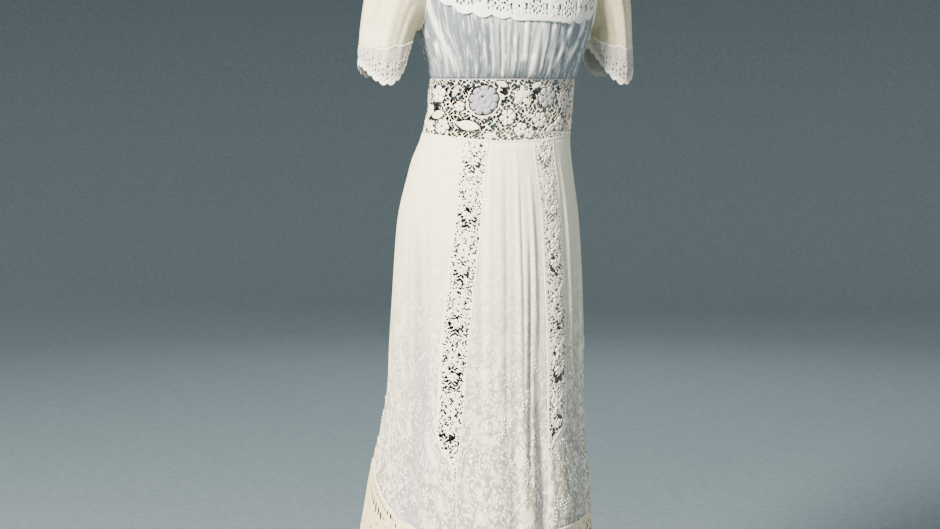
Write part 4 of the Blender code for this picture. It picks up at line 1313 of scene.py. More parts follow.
@dataclass(frozen=True)
class LaceFinish(Finish):
    """Worked lace of matt cotton thread, shaded where the draft says."""

    strands: float = 700.0

    def dress(self, wires: Wiring, shader: bpy.types.Node) -> None:
        """Wire thread, age and the draft's shade."""
        cut, space, age = self.sources(wires)
        tint = wires.node("ShaderNodeSeparateXYZ", {0: cut}).outputs[2]
        floss = wires.node("ShaderNodeGroup", node_tree=Groups.floss())
        wires.join(space, floss, "Vector")
        floss.inputs["Strands"].default_value = self.strands
        colour = wires.mix(wires.times(age.outputs["Cloud"], 0.6), self.colour, self.aged)
        colour = wires.mix(wires.times(tint, 0.92), colour, self.shade)
        # Darker, towards the aged colour, where the thread's relief is low.
        low_relief_darkening = wires.times(wires.math("SUBTRACT", 1.0, floss.outputs["Shade"]), 0.22)
        colour = wires.mix(low_relief_darkening, colour, self.aged)
        self.paint(wires, shader, colour)
        rough = wires.ramp(age.outputs["Mottle"], 0.0, 1.0, self.rough - 0.08, self.rough + 0.08)
        wires.join(rough, shader, "Roughness")
        self.height(wires, shader, floss.outputs["Height"], 0.0005)


# The voile's blue-grey shade colour is the painted shade seen through its thin parts; its random mottle uses
# it too.
VOILE = ClothFinish("voile", Slot.VOILE, (0.98, 0.95, 0.84, 1), (0.24, 0.3, 0.36, 1), (0.86, 0.83, 0.76, 1),
                    threads=1700.0, sheer=0.44, sheen=0.15)
COTTON = ClothFinish("cream_cotton", Slot.CREAM_COTTON, (0.98, 0.93, 0.7, 1), (0.31, 0.28, 0.22, 1),
                     (0.9, 0.81, 0.58, 1), whitework=0.9, inner_shade_amount=0.88)
SLEEVE = ClothFinish("sleeve_cotton", Slot.CREAM_COTTON, (0.97, 0.9, 0.62, 1), (0.5, 0.42, 0.24, 1),
                     (0.85, 0.72, 0.44, 1), inner_shade_amount=0.6, mottle=0.55, trough_shade_scale=0.92,
                     trough_shade=(0.33, 0.28, 0.17, 1))
WHITE = LaceFinish("white_lace", Slot.WHITE_LACE, (0.95, 0.93, 0.86, 1), (0.62, 0.62, 0.6, 1),
                   (0.88, 0.84, 0.72, 1))
BAND = LaceFinish("band_lace", Slot.WHITE_LACE, (0.97, 0.93, 0.77, 1), (0.62, 0.6, 0.55, 1),
                  (0.86, 0.8, 0.66, 1), inner_shade_amount=0.7)
# The belt's inner side is painted near black: painted shade seen through its holes.
BELT = LaceFinish("belt_lace", Slot.BELT_LACE, (0.94, 0.87, 0.66, 1), (0.25, 0.25, 0.31, 1),
                  (0.82, 0.73, 0.55, 1), inner_shade_colour=(0.02, 0.028, 0.045, 1), inner_shade_amount=0.97)
CREAM = LaceFinish("cream_lace", Slot.CREAM_LACE, (0.92, 0.81, 0.47, 1), (0.58, 0.5, 0.33, 1),
                   (0.8, 0.67, 0.37, 1))
CUFF = LaceFinish("cuff_lace", Slot.CREAM_LACE, (0.93, 0.89, 0.76, 1), (0.4, 0.36, 0.33, 1),
                  (0.56, 0.49, 0.38, 1), inner_shade_amount=0.6)
SEAM = LaceFinish("seam_cotton", Slot.CREAM_COTTON, (0.92, 0.88, 0.75, 1), (0.6, 0.58, 0.5, 1),
                  (0.84, 0.77, 0.62, 1), strands=1100.0)
FLOSS = LaceFinish("white_floss", Slot.CREAM_COTTON, (0.96, 0.94, 0.88, 1), (0.7, 0.68, 0.62, 1),
                   (0.88, 0.84, 0.74, 1), strands=1300.0)


# The pieces of the dress


@dataclass(frozen=True)
class ArcLine:
    """A line round the body, measured along its real length."""

    angles: Array
    lengths: Array

    @classmethod
    def across(cls, panel: Panel, gap: float, line: Callable[[Array], Array]) -> "ArcLine":
        """Measure a line across a panel, short of its edges by a gap."""
        return cls.along(line, panel.first + gap, panel.last - gap)

    @classmethod
    def along(cls, line: Callable[[Array], Array], first: float, last: float) -> "ArcLine":
        """Measure a line between two angles."""
        angles = np.linspace(first, last, 721)
        spots = line(angles)
        steps = np.linalg.norm(np.diff(spots, axis=0), axis=1)
        return cls(angles, np.concatenate([[0.0], np.cumsum(steps)]))

    @property
    def total(self) -> float:
        """Return the line's length."""
        return float(self.lengths[-1])

    def angle(self, share: Array) -> Array:
        """Return the angle at each share of the length."""
        return np.interp(share * self.total, self.lengths, self.angles)

    def metres(self, angle: float) -> float:
        """Return the length from the start to an angle."""
        return float(np.interp(angle, self.angles, self.lengths))


@dataclass(frozen=True)
class Cut:
    """The flat width and length that a piece was cut to, in metres."""

    width: float
    length: float
    least: float = 0.31


def deliver(loom: Loom, finish: Finish, node: str, cut: Cut, held: Held) -> None:
    """Weave a piece, let it stand for its solid and say what sheet it was cut from.

    Args:
        loom: the loom with the piece's draft.
        finish: the finish that the piece wears.
        node: the solid that it stands for.
        cut: its flat width and length.
        held: how it is held; not used.
    """
    piece = loom.weave(finish)
    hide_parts(node)
    whole = cut.width * cut.length
    cloth = sum(face.area for face in piece.data.polygons) / 2
    LOG.info("%s cut %.3f x %.3f cloth %.4f of %.4f", piece.name, cut.width, cut.length, cloth, whole)


@dataclass
class Belt:
    """The wide lace belt: flowers and leaves on an open diagonal net."""

    form: SkirtForm
    finish: Finish = BELT
    cell: float = 0.0012
    back_cell: float = 0.0017
    tall: float = 0.094
    gap: float = 0.06
    net_pitch: float = 0.0088
    net_thread: float = 0.00125
    net_drift: float = 0.0016
    edge: float = 0.0014
    openings: tuple = (
        (-42.0, 0.079, 0.0052, 0.003, 60.0), (-40.0, 0.066, 0.0056, 0.003, 80.0),
        (-46.0, 0.064, 0.0036, 0.0024, -50.0), (-39.0, 0.05, 0.0044, 0.0024, 110.0),
        (-46.0, 0.03, 0.005, 0.0022, 120.0), (-43.0, 0.012, 0.0044, 0.002, 140.0),
        (-33.0, 0.088, 0.004, 0.0022, 10.0), (-12.5, 0.075, 0.005, 0.0024, 50.0),
        (-11.0, 0.06, 0.0046, 0.0022, 50.0), (-16.5, 0.046, 0.004, 0.0022, 50.0),
        (-22.0, 0.03, 0.005, 0.0022, 45.0), (-17.0, 0.022, 0.0046, 0.002, 45.0),
        (-12.0, 0.014, 0.0046, 0.002, 45.0), (13.5, 0.074, 0.005, 0.0024, 70.0),
        (16.5, 0.062, 0.004, 0.0022, 100.0), (12.0, 0.058, 0.0036, 0.002, 45.0),
        (30.0, 0.044, 0.004, 0.0022, 50.0), (27.0, 0.016, 0.0042, 0.002, 50.0),
        (36.0, 0.078, 0.0044, 0.0022, 90.0), (53.0, 0.074, 0.0046, 0.0024, 80.0),
        (-36.0, 0.081, 0.0048, 0.0026, 120.0), (-58.0, 0.086, 0.0044, 0.0022, 20.0),
        (-55.0, 0.06, 0.004, 0.0022, 80.0), (-33.0, 0.036, 0.0046, 0.0022, -30.0),
        (-28.0, 0.012, 0.0044, 0.0022, -20.0), (-4.0, 0.058, 0.004, 0.0022, 60.0),
        (-2.0, 0.082, 0.0046, 0.0022, 150.0), (8.0, 0.088, 0.005, 0.002, 0.0),
        (14.5, 0.05, 0.004, 0.0022, 120.0), (33.0, 0.086, 0.0046, 0.0022, 0.0),
        (37.0, 0.056, 0.0044, 0.0022, 70.0), (40.0, 0.04, 0.004, 0.002, 0.0),
        (34.0, 0.03, 0.004, 0.002, 130.0), (52.0, 0.05, 0.004, 0.0022, 30.0),
        (-70.0, 0.05, 0.004, 0.002, 60.0), (-77.0, 0.026, 0.0038, 0.002, 10.0),
    )

    def build(self) -> None:
        """Make the front and the two backs."""
        for panel in panels():
            self.piece(panel)

    def piece(self, panel: Panel) -> None:
        """Make one piece of the belt.

        Args:
            panel: its name and edges.
        """
        name = panel.name
        line = ArcLine.across(panel, self.gap, lambda a: self.form.belt(a, np.full(a.shape, 0.5)))
        cell = self.cell if name == "front" else self.back_cell
        loom = Loom(
            f"belt_lace_{name}", lambda u, v: self.form.belt(line.angle(u), v),
            columns=round(line.total / cell), rows=round(self.tall / cell),
            size=lambda u, v: (u * line.total, v * self.tall), filled=False,
        )
        board = loom.draft
        board.net(self.net_pitch, self.net_thread, self.net_drift)
        if name == "front":
            for angle, up, long, wide, turn in self.openings:
                board.cut(board.oval(line.metres(angle), up, long, wide, turn))
            self.front(board, line)
        else:
            self.back(board, line, 1 if name == "back_left" else -1)
        board.add(self.edge - board.y, 0.0003)
        # The top border is tinted dark: painted shade for the dark line where the belt meets the bodice.
        board.add(self.edge - np.abs(board.y - self.tall), 0.0, 0.9)
        for side in (0.0, line.total):
            board.add(0.0022 - np.abs(board.x - side), 0.0003)
        deliver(loom, self.finish, f"belt_{name}", Cut(round(line.total, 3), self.tall), Held.STRETCHED)

    def front(self, board: Draft, line: ArcLine) -> None:
        """Draw the front's flowers, leaves, rosette and scrolls."""
        at = line.metres
        board.flower(at(-72.0), 0.068, 0.015, 5, 20.0, eye=0.13, moat=8)
        board.flower(at(-84.0), 0.04, 0.011, 5, 50.0, moat=8)
        board.leaf(at(-70.0), 0.034, 0.014, 0.007, 15.0, moat=6)
        board.flower(at(-62.0), 0.016, 0.0125, 6, 0.0, moat=8)
        board.leaf(at(-80.0), 0.014, 0.013, 0.006, -30.0)
        board.flower(at(-47.0), 0.05, 0.0085, 5, 30.0, moat=8)
        board.leaf(at(-52.0), 0.074, 0.011, 0.0045, 70.0, tint=0.5, moat=6)
        board.leaf(at(-37.0), 0.021, 0.019, 0.0075, -6.0, holes=0, moat=6)
        board.scroll(at(-44.0), 0.031, 0.01, 200.0, 330.0, 0.0026)
        board.rosette(at(-27.0), 0.061, 0.0225, 1.0)
        board.scroll(at(-27.0), 0.061, 0.0262, 150.0, 400.0, 0.0022)
        board.leaf(at(-14.0), 0.086, 0.01, 0.004, 160.0, moat=6)
        board.flower(at(-7.0), 0.036, 0.0125, 6, 10.0, moat=8)
        board.leaf(at(-19.0), 0.008, 0.01, 0.0036, 8.0)
        leaves = ((95.0, 0.017), (140.0, 0.015), (50.0, 0.015), (205.0, 0.013), (330.0, 0.0135))
        for turn, reach in leaves:
            way = math.radians(turn)
            board.leaf(at(3.0) + 0.62 * reach * math.cos(way), 0.064 + 0.62 * reach * math.sin(way),
                       reach * 0.56, 0.004, turn, holes=0)
        board.flower(at(4.5), 0.018, 0.0105, 5, 40.0, moat=8)
        board.scroll(at(12.0), 0.048, 0.012, 180.0, 300.0, 0.0024)
        board.flower(at(25.0), 0.066, 0.0165, 6, 15.0, tint=0.85, eye=0.08, moat=8)
        board.leaf(at(14.0), 0.084, 0.009, 0.004, 20.0, moat=6)
        board.flower(at(20.0), 0.031, 0.012, 6, 0.0, tint=0.25, moat=8)
        board.flower(at(12.0), 0.012, 0.0085, 5, 0.0, tint=0.2, moat=8)
        board.leaf(at(33.0), 0.018, 0.012, 0.0048, 25.0, moat=6)
        board.add(board.disc(at(46.0), 0.06, 0.014), 0.0004, 0.45)
        board.eyelets(at(46.0), 0.06, 0.0088, 9, 0.0014)
        board.cut(board.disc(at(46.0), 0.06, 0.0024))
        board.flower(at(42.0), 0.022, 0.012, 5, 25.0, tint=0.3, moat=8)
        board.leaf(at(56.0), 0.034, 0.013, 0.0052, 80.0, tint=0.4, moat=6)
        board.flower(at(64.0), 0.068, 0.013, 6, 0.0, tint=0.3, moat=8)
        board.flower(at(66.0), 0.018, 0.012, 5, 15.0, moat=8)
        board.leaf(at(80.0), 0.048, 0.015, 0.006, 70.0, moat=6)
        board.flower(at(84.0), 0.078, 0.01, 5, 0.0, moat=8)

    def back(self, board: Draft, line: ArcLine, side: int) -> None:
        """Draw the back: the front's motifs in an even row.

        Args:
            board: the board to draw on.
            line: the line round the belt.
            side: 1 for the wearer's left, -1 for the right.
        """
        for number, away in enumerate((102.0, 118.0, 134.0, 150.0, 167.0)):
            x = line.metres(side * away)
            low = number % 2 == 0
            if low:
                board.flower(x, 0.064, 0.014, 6, 15.0 * number, moat=8)
                board.leaf(x, 0.024, 0.015, 0.0065, side * 20.0)
            else:
                board.flower(x, 0.026, 0.013, 5, 10.0 * number, moat=8)
                board.leaf(x, 0.07, 0.015, 0.0062, -side * 25.0)
            near = line.metres(side * (away + 8.0))
            board.scroll(near, 0.046, 0.0085, 40.0, 250.0, 0.0024)
        board.rosette(line.metres(side * 142.0), 0.06, 0.017, 0.8)


@dataclass
class SkirtBand:
    """A lace band let into the skirt: roses, leaves and clusters of gaps."""

    form: SkirtForm
    side: Side
    edges: tuple
    foot: float
    finish: Finish = BAND
    cell: float = 0.0012
    start: float = 0.062
    repeat: float = 0.084
    border: float = 0.0019
    gap_pitch: float = 0.0043
    seed: int = 5

    def angle(self, share: Array, outer: bool) -> Array:
        """Return the angle of one edge of the band."""
        return Curve(self.edges, smooth=False).at(share)[..., 1 if outer else 0]

    def place(self, u: Array, v: Array) -> Array:
        """Return points on the band; v runs from its foot to the belt."""
        share = (1.0 - v) * self.foot
        inner = self.angle(share, False)
        outer = self.angle(share, True)
        low, high = (inner, outer) if self.side is Side.LEFT else (outer, inner)
        return self.form.gore(low + (high - low) * u, share)

    def size(self, u: Array, v: Array) -> tuple:
        """Return metres across from the band's middle and up from its foot."""
        spots = self.place(u, v)
        width = np.linalg.norm(spots[:, -1] - spots[:, 0], axis=-1)[:, None]
        middle = spots[:, spots.shape[1] // 2]
        climb = np.concatenate([[0.0], np.cumsum(np.linalg.norm(np.diff(middle, axis=0), axis=1))])
        return (u - 0.5) * width, climb[:, None] + 0.0 * u

    def build(self) -> None:
        """Make the band and state its cut."""
        word = self.side.name.lower()
        middle = ArcLine.along(lambda a: self.form.points(a, np.full(a.shape, -0.6)), *sorted(
            (float(self.angle(np.array(0.4), False)), float(self.angle(np.array(0.4), True)))))
        drop = float(-0.398 - self.form.flounce_top(np.array(self.side.value * 30.0))) * self.foot
        loom = Loom(
            f"band_lace_{word}", self.place, columns=round(middle.total / self.cell),
            rows=round(drop / self.cell), size=self.size,
        )
        self.draw(loom.draft, drop)
        wide = 2 * float(np.abs(loom.draft.x).max())
        deliver(loom, self.finish, f"insertion_{word}", Cut(round(wide, 3), round(drop, 3)), Held.STRETCHED)

    def draw(self, board: Draft, drop: float) -> None:
        """Draw the band's repeats from the belt down.

        Args:
            board: the board to draw on.
            drop: the band's length.
        """
        self.ground(board, drop)
        half = np.abs(board.x).max(axis=1)[:, None]
        repeats = int(drop / self.repeat) + 2
        for number in range(repeats):
            top = drop - self.start - self.repeat * (number - 1)
            lean = 1.0 if (number + (self.side is Side.LEFT)) % 2 else -1.0
            rose = top - 0.018
            board.flower(0.001 * lean, rose, 0.01, 6, 12.0 * number, eye=0.17, moat=6)
            for way in (-1.0, 1.0):
                board.leaf(way * 0.008, rose - 0.0135, 0.0086, 0.0036, way * -58.0, holes=2)
                board.leaf(way * 0.0082, rose + 0.0138, 0.0078, 0.0032, way * 54.0, holes=2)
            bud = rose - 0.031
            board.flower(-0.0034 * lean, bud, 0.0076, 5, 20.0 * number + 8.0, eye=0.18, moat=5)
            board.leaf(0.0078 * lean, bud + 0.003, 0.007, 0.003, 68.0 * lean, holes=2)
            board.scroll(0.004 * lean, bud - 0.0092, 0.0056, 30.0, 250.0, 0.0022)
            self.gaps(board, rose - 0.046, lean)
            self.gaps(board, rose - 0.0215, -lean, small=True)
        board.add(self.border - (half - np.abs(board.x)), 0.0005)
        board.add(np.minimum(self.border - np.abs(board.y), half), 0.0004)

    def ground(self, board: Draft, drop: float) -> None:
        """Cut a field of small uneven gaps that slant this way and that.

        Args:
            board: the board to draw on.
            drop: the band's length.
        """
        chance = np.random.default_rng(self.seed + self.side.value)
        rows = int(drop / self.gap_pitch) + 1
        for row in range(rows):
            low = 1.0 - row * self.gap_pitch / drop
            for column in range(-4, 5):
                stray = chance.uniform(-1.0, 1.0, 4)
                x = (column + 0.5 * (row % 2) + 0.3 * stray[0]) * self.gap_pitch
                y = (row + 0.3 * stray[1]) * self.gap_pitch
                long = 0.00135 + 0.00045 * stray[2] + 0.00035 * low
                turn = (45.0 if (row + column) % 2 else -45.0) + 25.0 * stray[3]
                if stray[2] > -0.75 + 0.5 * (1.0 - low):
                    board.cut(board.oval(x, y, long * 1.35, long * 0.72, turn))

    def gaps(self, board: Draft, y: float, lean: float, small: bool = False) -> None:
        """Cut a slanting cluster of gaps in the shape of a V."""
        reach = 2 if small else 3
        for step in range(-reach, reach + 1):
            x = step * 0.0033 + 0.0006 * lean
            drop = abs(step) * (0.003 if small else 0.0042)
            turn = 38.0 if step < 0 else -38.0
            long = 0.0021 if small else 0.0032
            board.cut(board.oval(x, y + drop, long, 0.0013 if small else 0.0017, turn))
            if not small and step % 2:
                board.cut(board.oval(x, y + drop - 0.0062, 0.0024, 0.0015, turn))


@dataclass
class Skirt:
    """The cotton gores of the skirt, shaped by soft folds."""

    form: SkirtForm
    right: SkirtBand
    left: SkirtBand
    finish: Finish = COTTON
    seam_gap: float = 0.0008
    column: float = 0.0042
    row: float = 0.008
    # Trough depth at which the painted fold shade is full.
    trough_shade_scale: float = 0.0065
    wall: float = 0.0006
    seam_turning: float = 0.012
    hem_turning: float = 0.02

    def build(self) -> None:
        """Make the five gores."""
        right, left = self.right, self.left
        back = SIDE_SEAM
        self.gore("front", lambda s: right.angle(s, False), lambda s: left.angle(s, False))
        self.gore("side_left", lambda s: left.angle(s, True), lambda s: back + 0.0 * s)
        self.gore("side_right", lambda s: -back + 0.0 * s, lambda s: right.angle(s, True))
        self.gore("back_left", lambda s: back + 0.0 * s, lambda s: 180.0 + 0.0 * s)
        self.gore("back_right", lambda s: -180.0 + 0.0 * s, lambda s: -back + 0.0 * s)

    def gore(self, name: str, low: Callable, high: Callable) -> None:
        """Make one gore between two edges.

        Args:
            name: the gore's place.
            low: function from a share of the length to the lower angle.
            high: function from a share of the length to the higher angle.
        """
        def place(u: Array, v: Array) -> Array:
            """Return points on the gore; v runs from the flounce to the belt."""
            share = 1.0 - v
            first, last = low(share), high(share)
            inset = self.seam_gap + (1.0 - 2 * self.seam_gap) * u
            return self.form.gore(first + (last - first) * inset, share)

        ends = place(*np.meshgrid(np.linspace(0, 1, 41), np.linspace(0, 1, 41)))
        widths = np.linalg.norm(np.diff(ends, axis=1), axis=-1).sum(axis=1)
        length = float(np.linalg.norm(np.diff(ends[:, 20], axis=0), axis=-1).sum())
        foot = float(widths[0])
        loom = Loom(
            f"skirt_cotton_{name}", place, columns=round(foot / self.column), rows=round(length / self.row),
            size=lambda u, v: ((u - 0.5) * foot, v * length), block=1, wall=self.wall,
        )
        # Painted shade: the deeper a fold's trough, the darker the cloth there.
        share = 1.0 - loom.v
        first, last = low(share), high(share)
        angle = first + (last - first) * loom.u
        top = self.form.belt_foot(angle)
        trough_shade = -self.form.fold_height(angle, top + (self.form.flounce_top(angle) - top) * share)
        loom.draft.dense = np.clip(trough_shade / self.trough_shade_scale, 0.0, 1.0)
        cut = Cut(round(float(widths.max()) + self.seam_turning, 3), round(length + self.hem_turning, 3))
        deliver(loom, self.finish, f"skirt_{name}", cut, Held.HUNG)


@dataclass
class Bodice:
    """The sheer bodice, drawn into gathers and stitched tucks."""

    form: BodiceForm
    finish: Finish = VOILE
    column: float = 0.0021
    row: float = 0.005
    wall: float = 0.0004
    lap: float = 0.4
    gap: float = 0.08
    tall: float = 0.135
    radius: float = 0.125
    fullness: float = 1.25
    cut_length: float = 0.165
    tucks: tuple = table_of(
        Tuck,
        (-53.0, -68.0, 0.4, 4.2, 0.005, 0.0016, 1.0), (-62.0, -60.0, 0.1, 2.6, 0.0024, 0.0009, 0.75),
        (-46.0, -56.0, 0.0, 3.2, 0.0016, 0.0008, 0.6), (-72.0, -66.0, 0.3, 2.4, 0.0026, 0.001, 0.7),
        (-80.0, -78.0, 0.0, 3.8, 0.0016, 0.0007, 0.45), (-35.0, -38.0, 0.0, 1.4, 0.0012, 0.0006, 0.3),
        (-27.0, -29.0, 0.0, 2.0, 0.0013, 0.0006, 0.35), (-22.6, -24.0, 0.0, 3.6, 0.0018, 0.0009, 0.65),
        (-19.2, -20.5, 0.0, 3.6, 0.0017, 0.0009, 0.6), (-15.8, -16.5, 0.0, 3.6, 0.0019, 0.001, 0.75),
        (-12.0, -12.2, 0.0, 3.6, 0.0024, 0.0012, 0.95), (-8.0, -7.6, 0.0, 3.6, 0.0017, 0.0009, 0.65),
        (-4.6, -4.0, 0.0, 3.6, 0.0018, 0.0009, 0.7), (-1.0, 0.0, 0.9, 3.6, 0.003, 0.0013, 1.0),
        (2.6, 3.8, 0.0, 3.6, 0.0016, 0.0008, 0.55), (6.2, 11.0, 0.0, 3.6, 0.006, 0.0018, 1.0),
        (12.0, 15.5, 0.0, 3.6, 0.0018, 0.0009, 0.55), (16.5, 19.0, 0.2, 3.6, 0.0024, 0.0011, 0.8),
        (20.0, 23.5, 0.0, 3.6, 0.002, 0.001, 0.65), (24.5, 37.0, 0.6, 3.7, 0.0034, 0.0014, 1.0),
        (29.0, 29.5, 0.0, 2.6, 0.0018, 0.0009, 0.55), (36.0, 51.0, 0.4, 3.8, 0.0036, 0.0015, 1.0),
        (44.0, 43.0, 0.0, 2.4, 0.0016, 0.0008, 0.3), (54.0, 57.0, 0.0, 3.9, 0.0018, 0.0009, 0.4),
        (66.0, 68.0, 0.0, 4.0, 0.002, 0.0009, 0.5), (78.0, 77.0, 0.0, 3.8, 0.0016, 0.0007, 0.4))
    back_tucks: tuple = (102.0, 109.0, 117.0, 124.0, 131.0, 139.0, 146.0, 152.0, 159.0, 165.0, 171.0)

    def build(self) -> None:
        """Make the front and the two backs."""
        behind = tuple(
            Tuck(away, away + (1.5 if number % 2 else -1.0), 0.0, 3.6 - 0.3 * (number % 3),
                 0.0018 + 0.0006 * (number % 2), 0.0009 + 0.0003 * (number % 3), 0.55 + 0.15 * (number % 3))
            for number, away in enumerate(self.back_tucks)
        )
        mirrored = tuple(tuck._replace(foot_angle=-tuck.foot_angle, top_angle=-tuck.top_angle)
                         for tuck in behind)
        for panel, tucks in zip(panels(), (self.tucks, behind, mirrored)):
            self.piece(panel, tucks)

    def piece(self, panel: Panel, tucks: tuple) -> None:
        """Make one piece of the bodice.

        Args:
            panel: its name and edges.
            tucks: the tucks stitched in it.
        """
        form = self.form
        line = ArcLine.across(panel, self.gap, lambda a: form.base(a, np.full(a.shape, 1.6)))

        def level(u: Array, v: Array) -> Array:
            """Return the level at a place on the grid."""
            angle = line.angle(u)
            return np.maximum(form.top(angle), form.foot(angle) + self.lap) * v

        loom = Loom(
            f"bodice_voile_{panel.name}", lambda u, v: form.base(line.angle(u), level(u, v)),
            columns=round(line.total / self.column), rows=round(self.tall / self.row),
            size=lambda u, v: (u * line.total, v * self.tall), block=1, wall=self.wall,
        )
        board = loom.draft
        angle = line.angle(loom.u)
        height = level(loom.u, loom.v)
        board.keep(form.armhole_distance(angle, height) + 0.0005)
        for tuck in tucks:
            share = np.clip((height - tuck.low) / (tuck.high - tuck.low), 0.0, 1.0)
            middle = tuck.foot_angle + (tuck.top_angle - tuck.foot_angle) * share
            away = np.radians(angle - middle) * self.radius
            swell = np.where((height > tuck.low) & (height < tuck.high), np.sin(math.pi * share) ** 0.35, 0.0)
            bell = np.exp(-((away / tuck.wide) ** 2)) * swell
            board.relief += tuck.rise * bell
            board.dense = np.maximum(board.dense, tuck.dense * bell ** 0.8)
        board.relief *= np.clip((form.foot(angle) + 0.1 - height) / 0.25, 0.0, 1.0)
        # Less density near the waist: more open there, and darker with painted see-through shade.
        board.dense *= np.clip(height / 0.3, 0.25, 1.0)
        cut = Cut(round(line.total * self.fullness, 3), self.cut_length)
        deliver(loom, self.finish, f"bodice_{panel.name}", cut, Held.GATHERED)


@dataclass
class Yoke:
    """The lace yoke with its scalloped foot and rings of small holes."""

    form: BodiceForm
    finish: Finish = WHITE
    cell: float = 0.002
    back_cell: float = 0.0026
    level_step: float = 0.036
    lift: float = 0.0024
    scallop: float = 0.0042
    scallops: int = 14
    gap: float = 0.08

    def build(self) -> None:
        """Make the front and the two backs."""
        for panel in panels():
            self.piece(panel)

    def piece(self, panel: Panel) -> None:
        """Make one piece of the yoke.

        Args:
            panel: its name and edges.
        """
        form, name = self.form, panel.name
        line = ArcLine.across(panel, self.gap, lambda a: form.base(a, np.full(a.shape, 4.4)))
        low = form.yoke_front - 0.16

        def level(v: Array) -> Array:
            """Return the level at a share of the yoke's height."""
            return low + (form.neck - low) * v

        tall = (form.neck - low) * self.level_step
        cell = self.cell if name == "front" else self.back_cell
        loom = Loom(
            f"yoke_lace_{name}", lambda u, v: form.base(line.angle(u), level(v)),
            columns=round(line.total / cell), rows=round(tall / cell),
            size=lambda u, v: (u * line.total, v * tall), lift=self.lift,
        )
        board = loom.draft
        angle = line.angle(loom.u)
        height = level(loom.v)
        count = self.scallops if name == "front" else self.scallops // 2
        wave = np.abs(np.sin(math.pi * count * loom.u))
        foot = (height - form.foot(angle)) * self.level_step + self.scallop * wave
        arm = form.armhole_distance(angle, height)
        self.draw(board, line, foot, count, tall)
        for edge in (foot, arm, board.y * 0.0 + (form.neck - height) * self.level_step):
            board.add(0.003 - edge, 0.0005)
            board.add(0.0009 - np.abs(edge - 0.005), 0.0005)
        for side in (0.0, line.total):
            board.add(0.002 - np.abs(board.x - side), 0.0003)
        board.keep(foot)
        board.keep(arm)
        deliver(loom, self.finish, f"yoke_{name}", Cut(round(line.total * 1.02, 3), round(tall, 3)),
                Held.STRETCHED)

    def draw(self, board: Draft, line: ArcLine, foot: Array, count: int, tall: float) -> None:
        """Draw rings, flowers and leaves in staggered rows.

        Args:
            board: the board to draw on.
            line: the line round the yoke.
            foot: metres above the scalloped foot, at each point.
            count: how many scallops there are.
            tall: the yoke's height on the board.
        """
        pitch = line.total / count
        rows = int(tall / 0.03) + 1
        for row in range(rows):
            for number in range(-1, count + 1):
                x = pitch * (number + 0.5 + 0.5 * (row % 2))
                column = int(np.clip(x / line.total, 0.0, 1.0) * (foot.shape[1] - 1))
                base = float(np.interp(0.0, foot[:, column], board.y[:, column]))
                y = base + 0.0175 + 0.029 * row
                if (number + row) % 2:
                    board.eyelets(x, y, 0.0076, 8, 0.00215)
                    board.eyelets(x, y, 0.0028, 3, 0.0015)
                else:
                    board.flower(x, y, 0.0118, 6, 10.0 * number, eye=0.17)
                    for way in (-1.0, 1.0):
                        board.cut(board.oval(x + way * 0.0132, y, 0.004, 0.002, 80.0 * way))
                for way in (-1.0, 1.0):
                    board.leaf(x + way * pitch * 0.26, y + 0.014, 0.0075, 0.0032, way * 40.0, holes=2)
                    for drop in (0.0, 0.0052, 0.0104):
                        spot = (x + way * (pitch * 0.5 - 0.0034), y - 0.0078 + drop)
                        board.cut(board.oval(*spot, 0.002, 0.0014, way * 35.0))


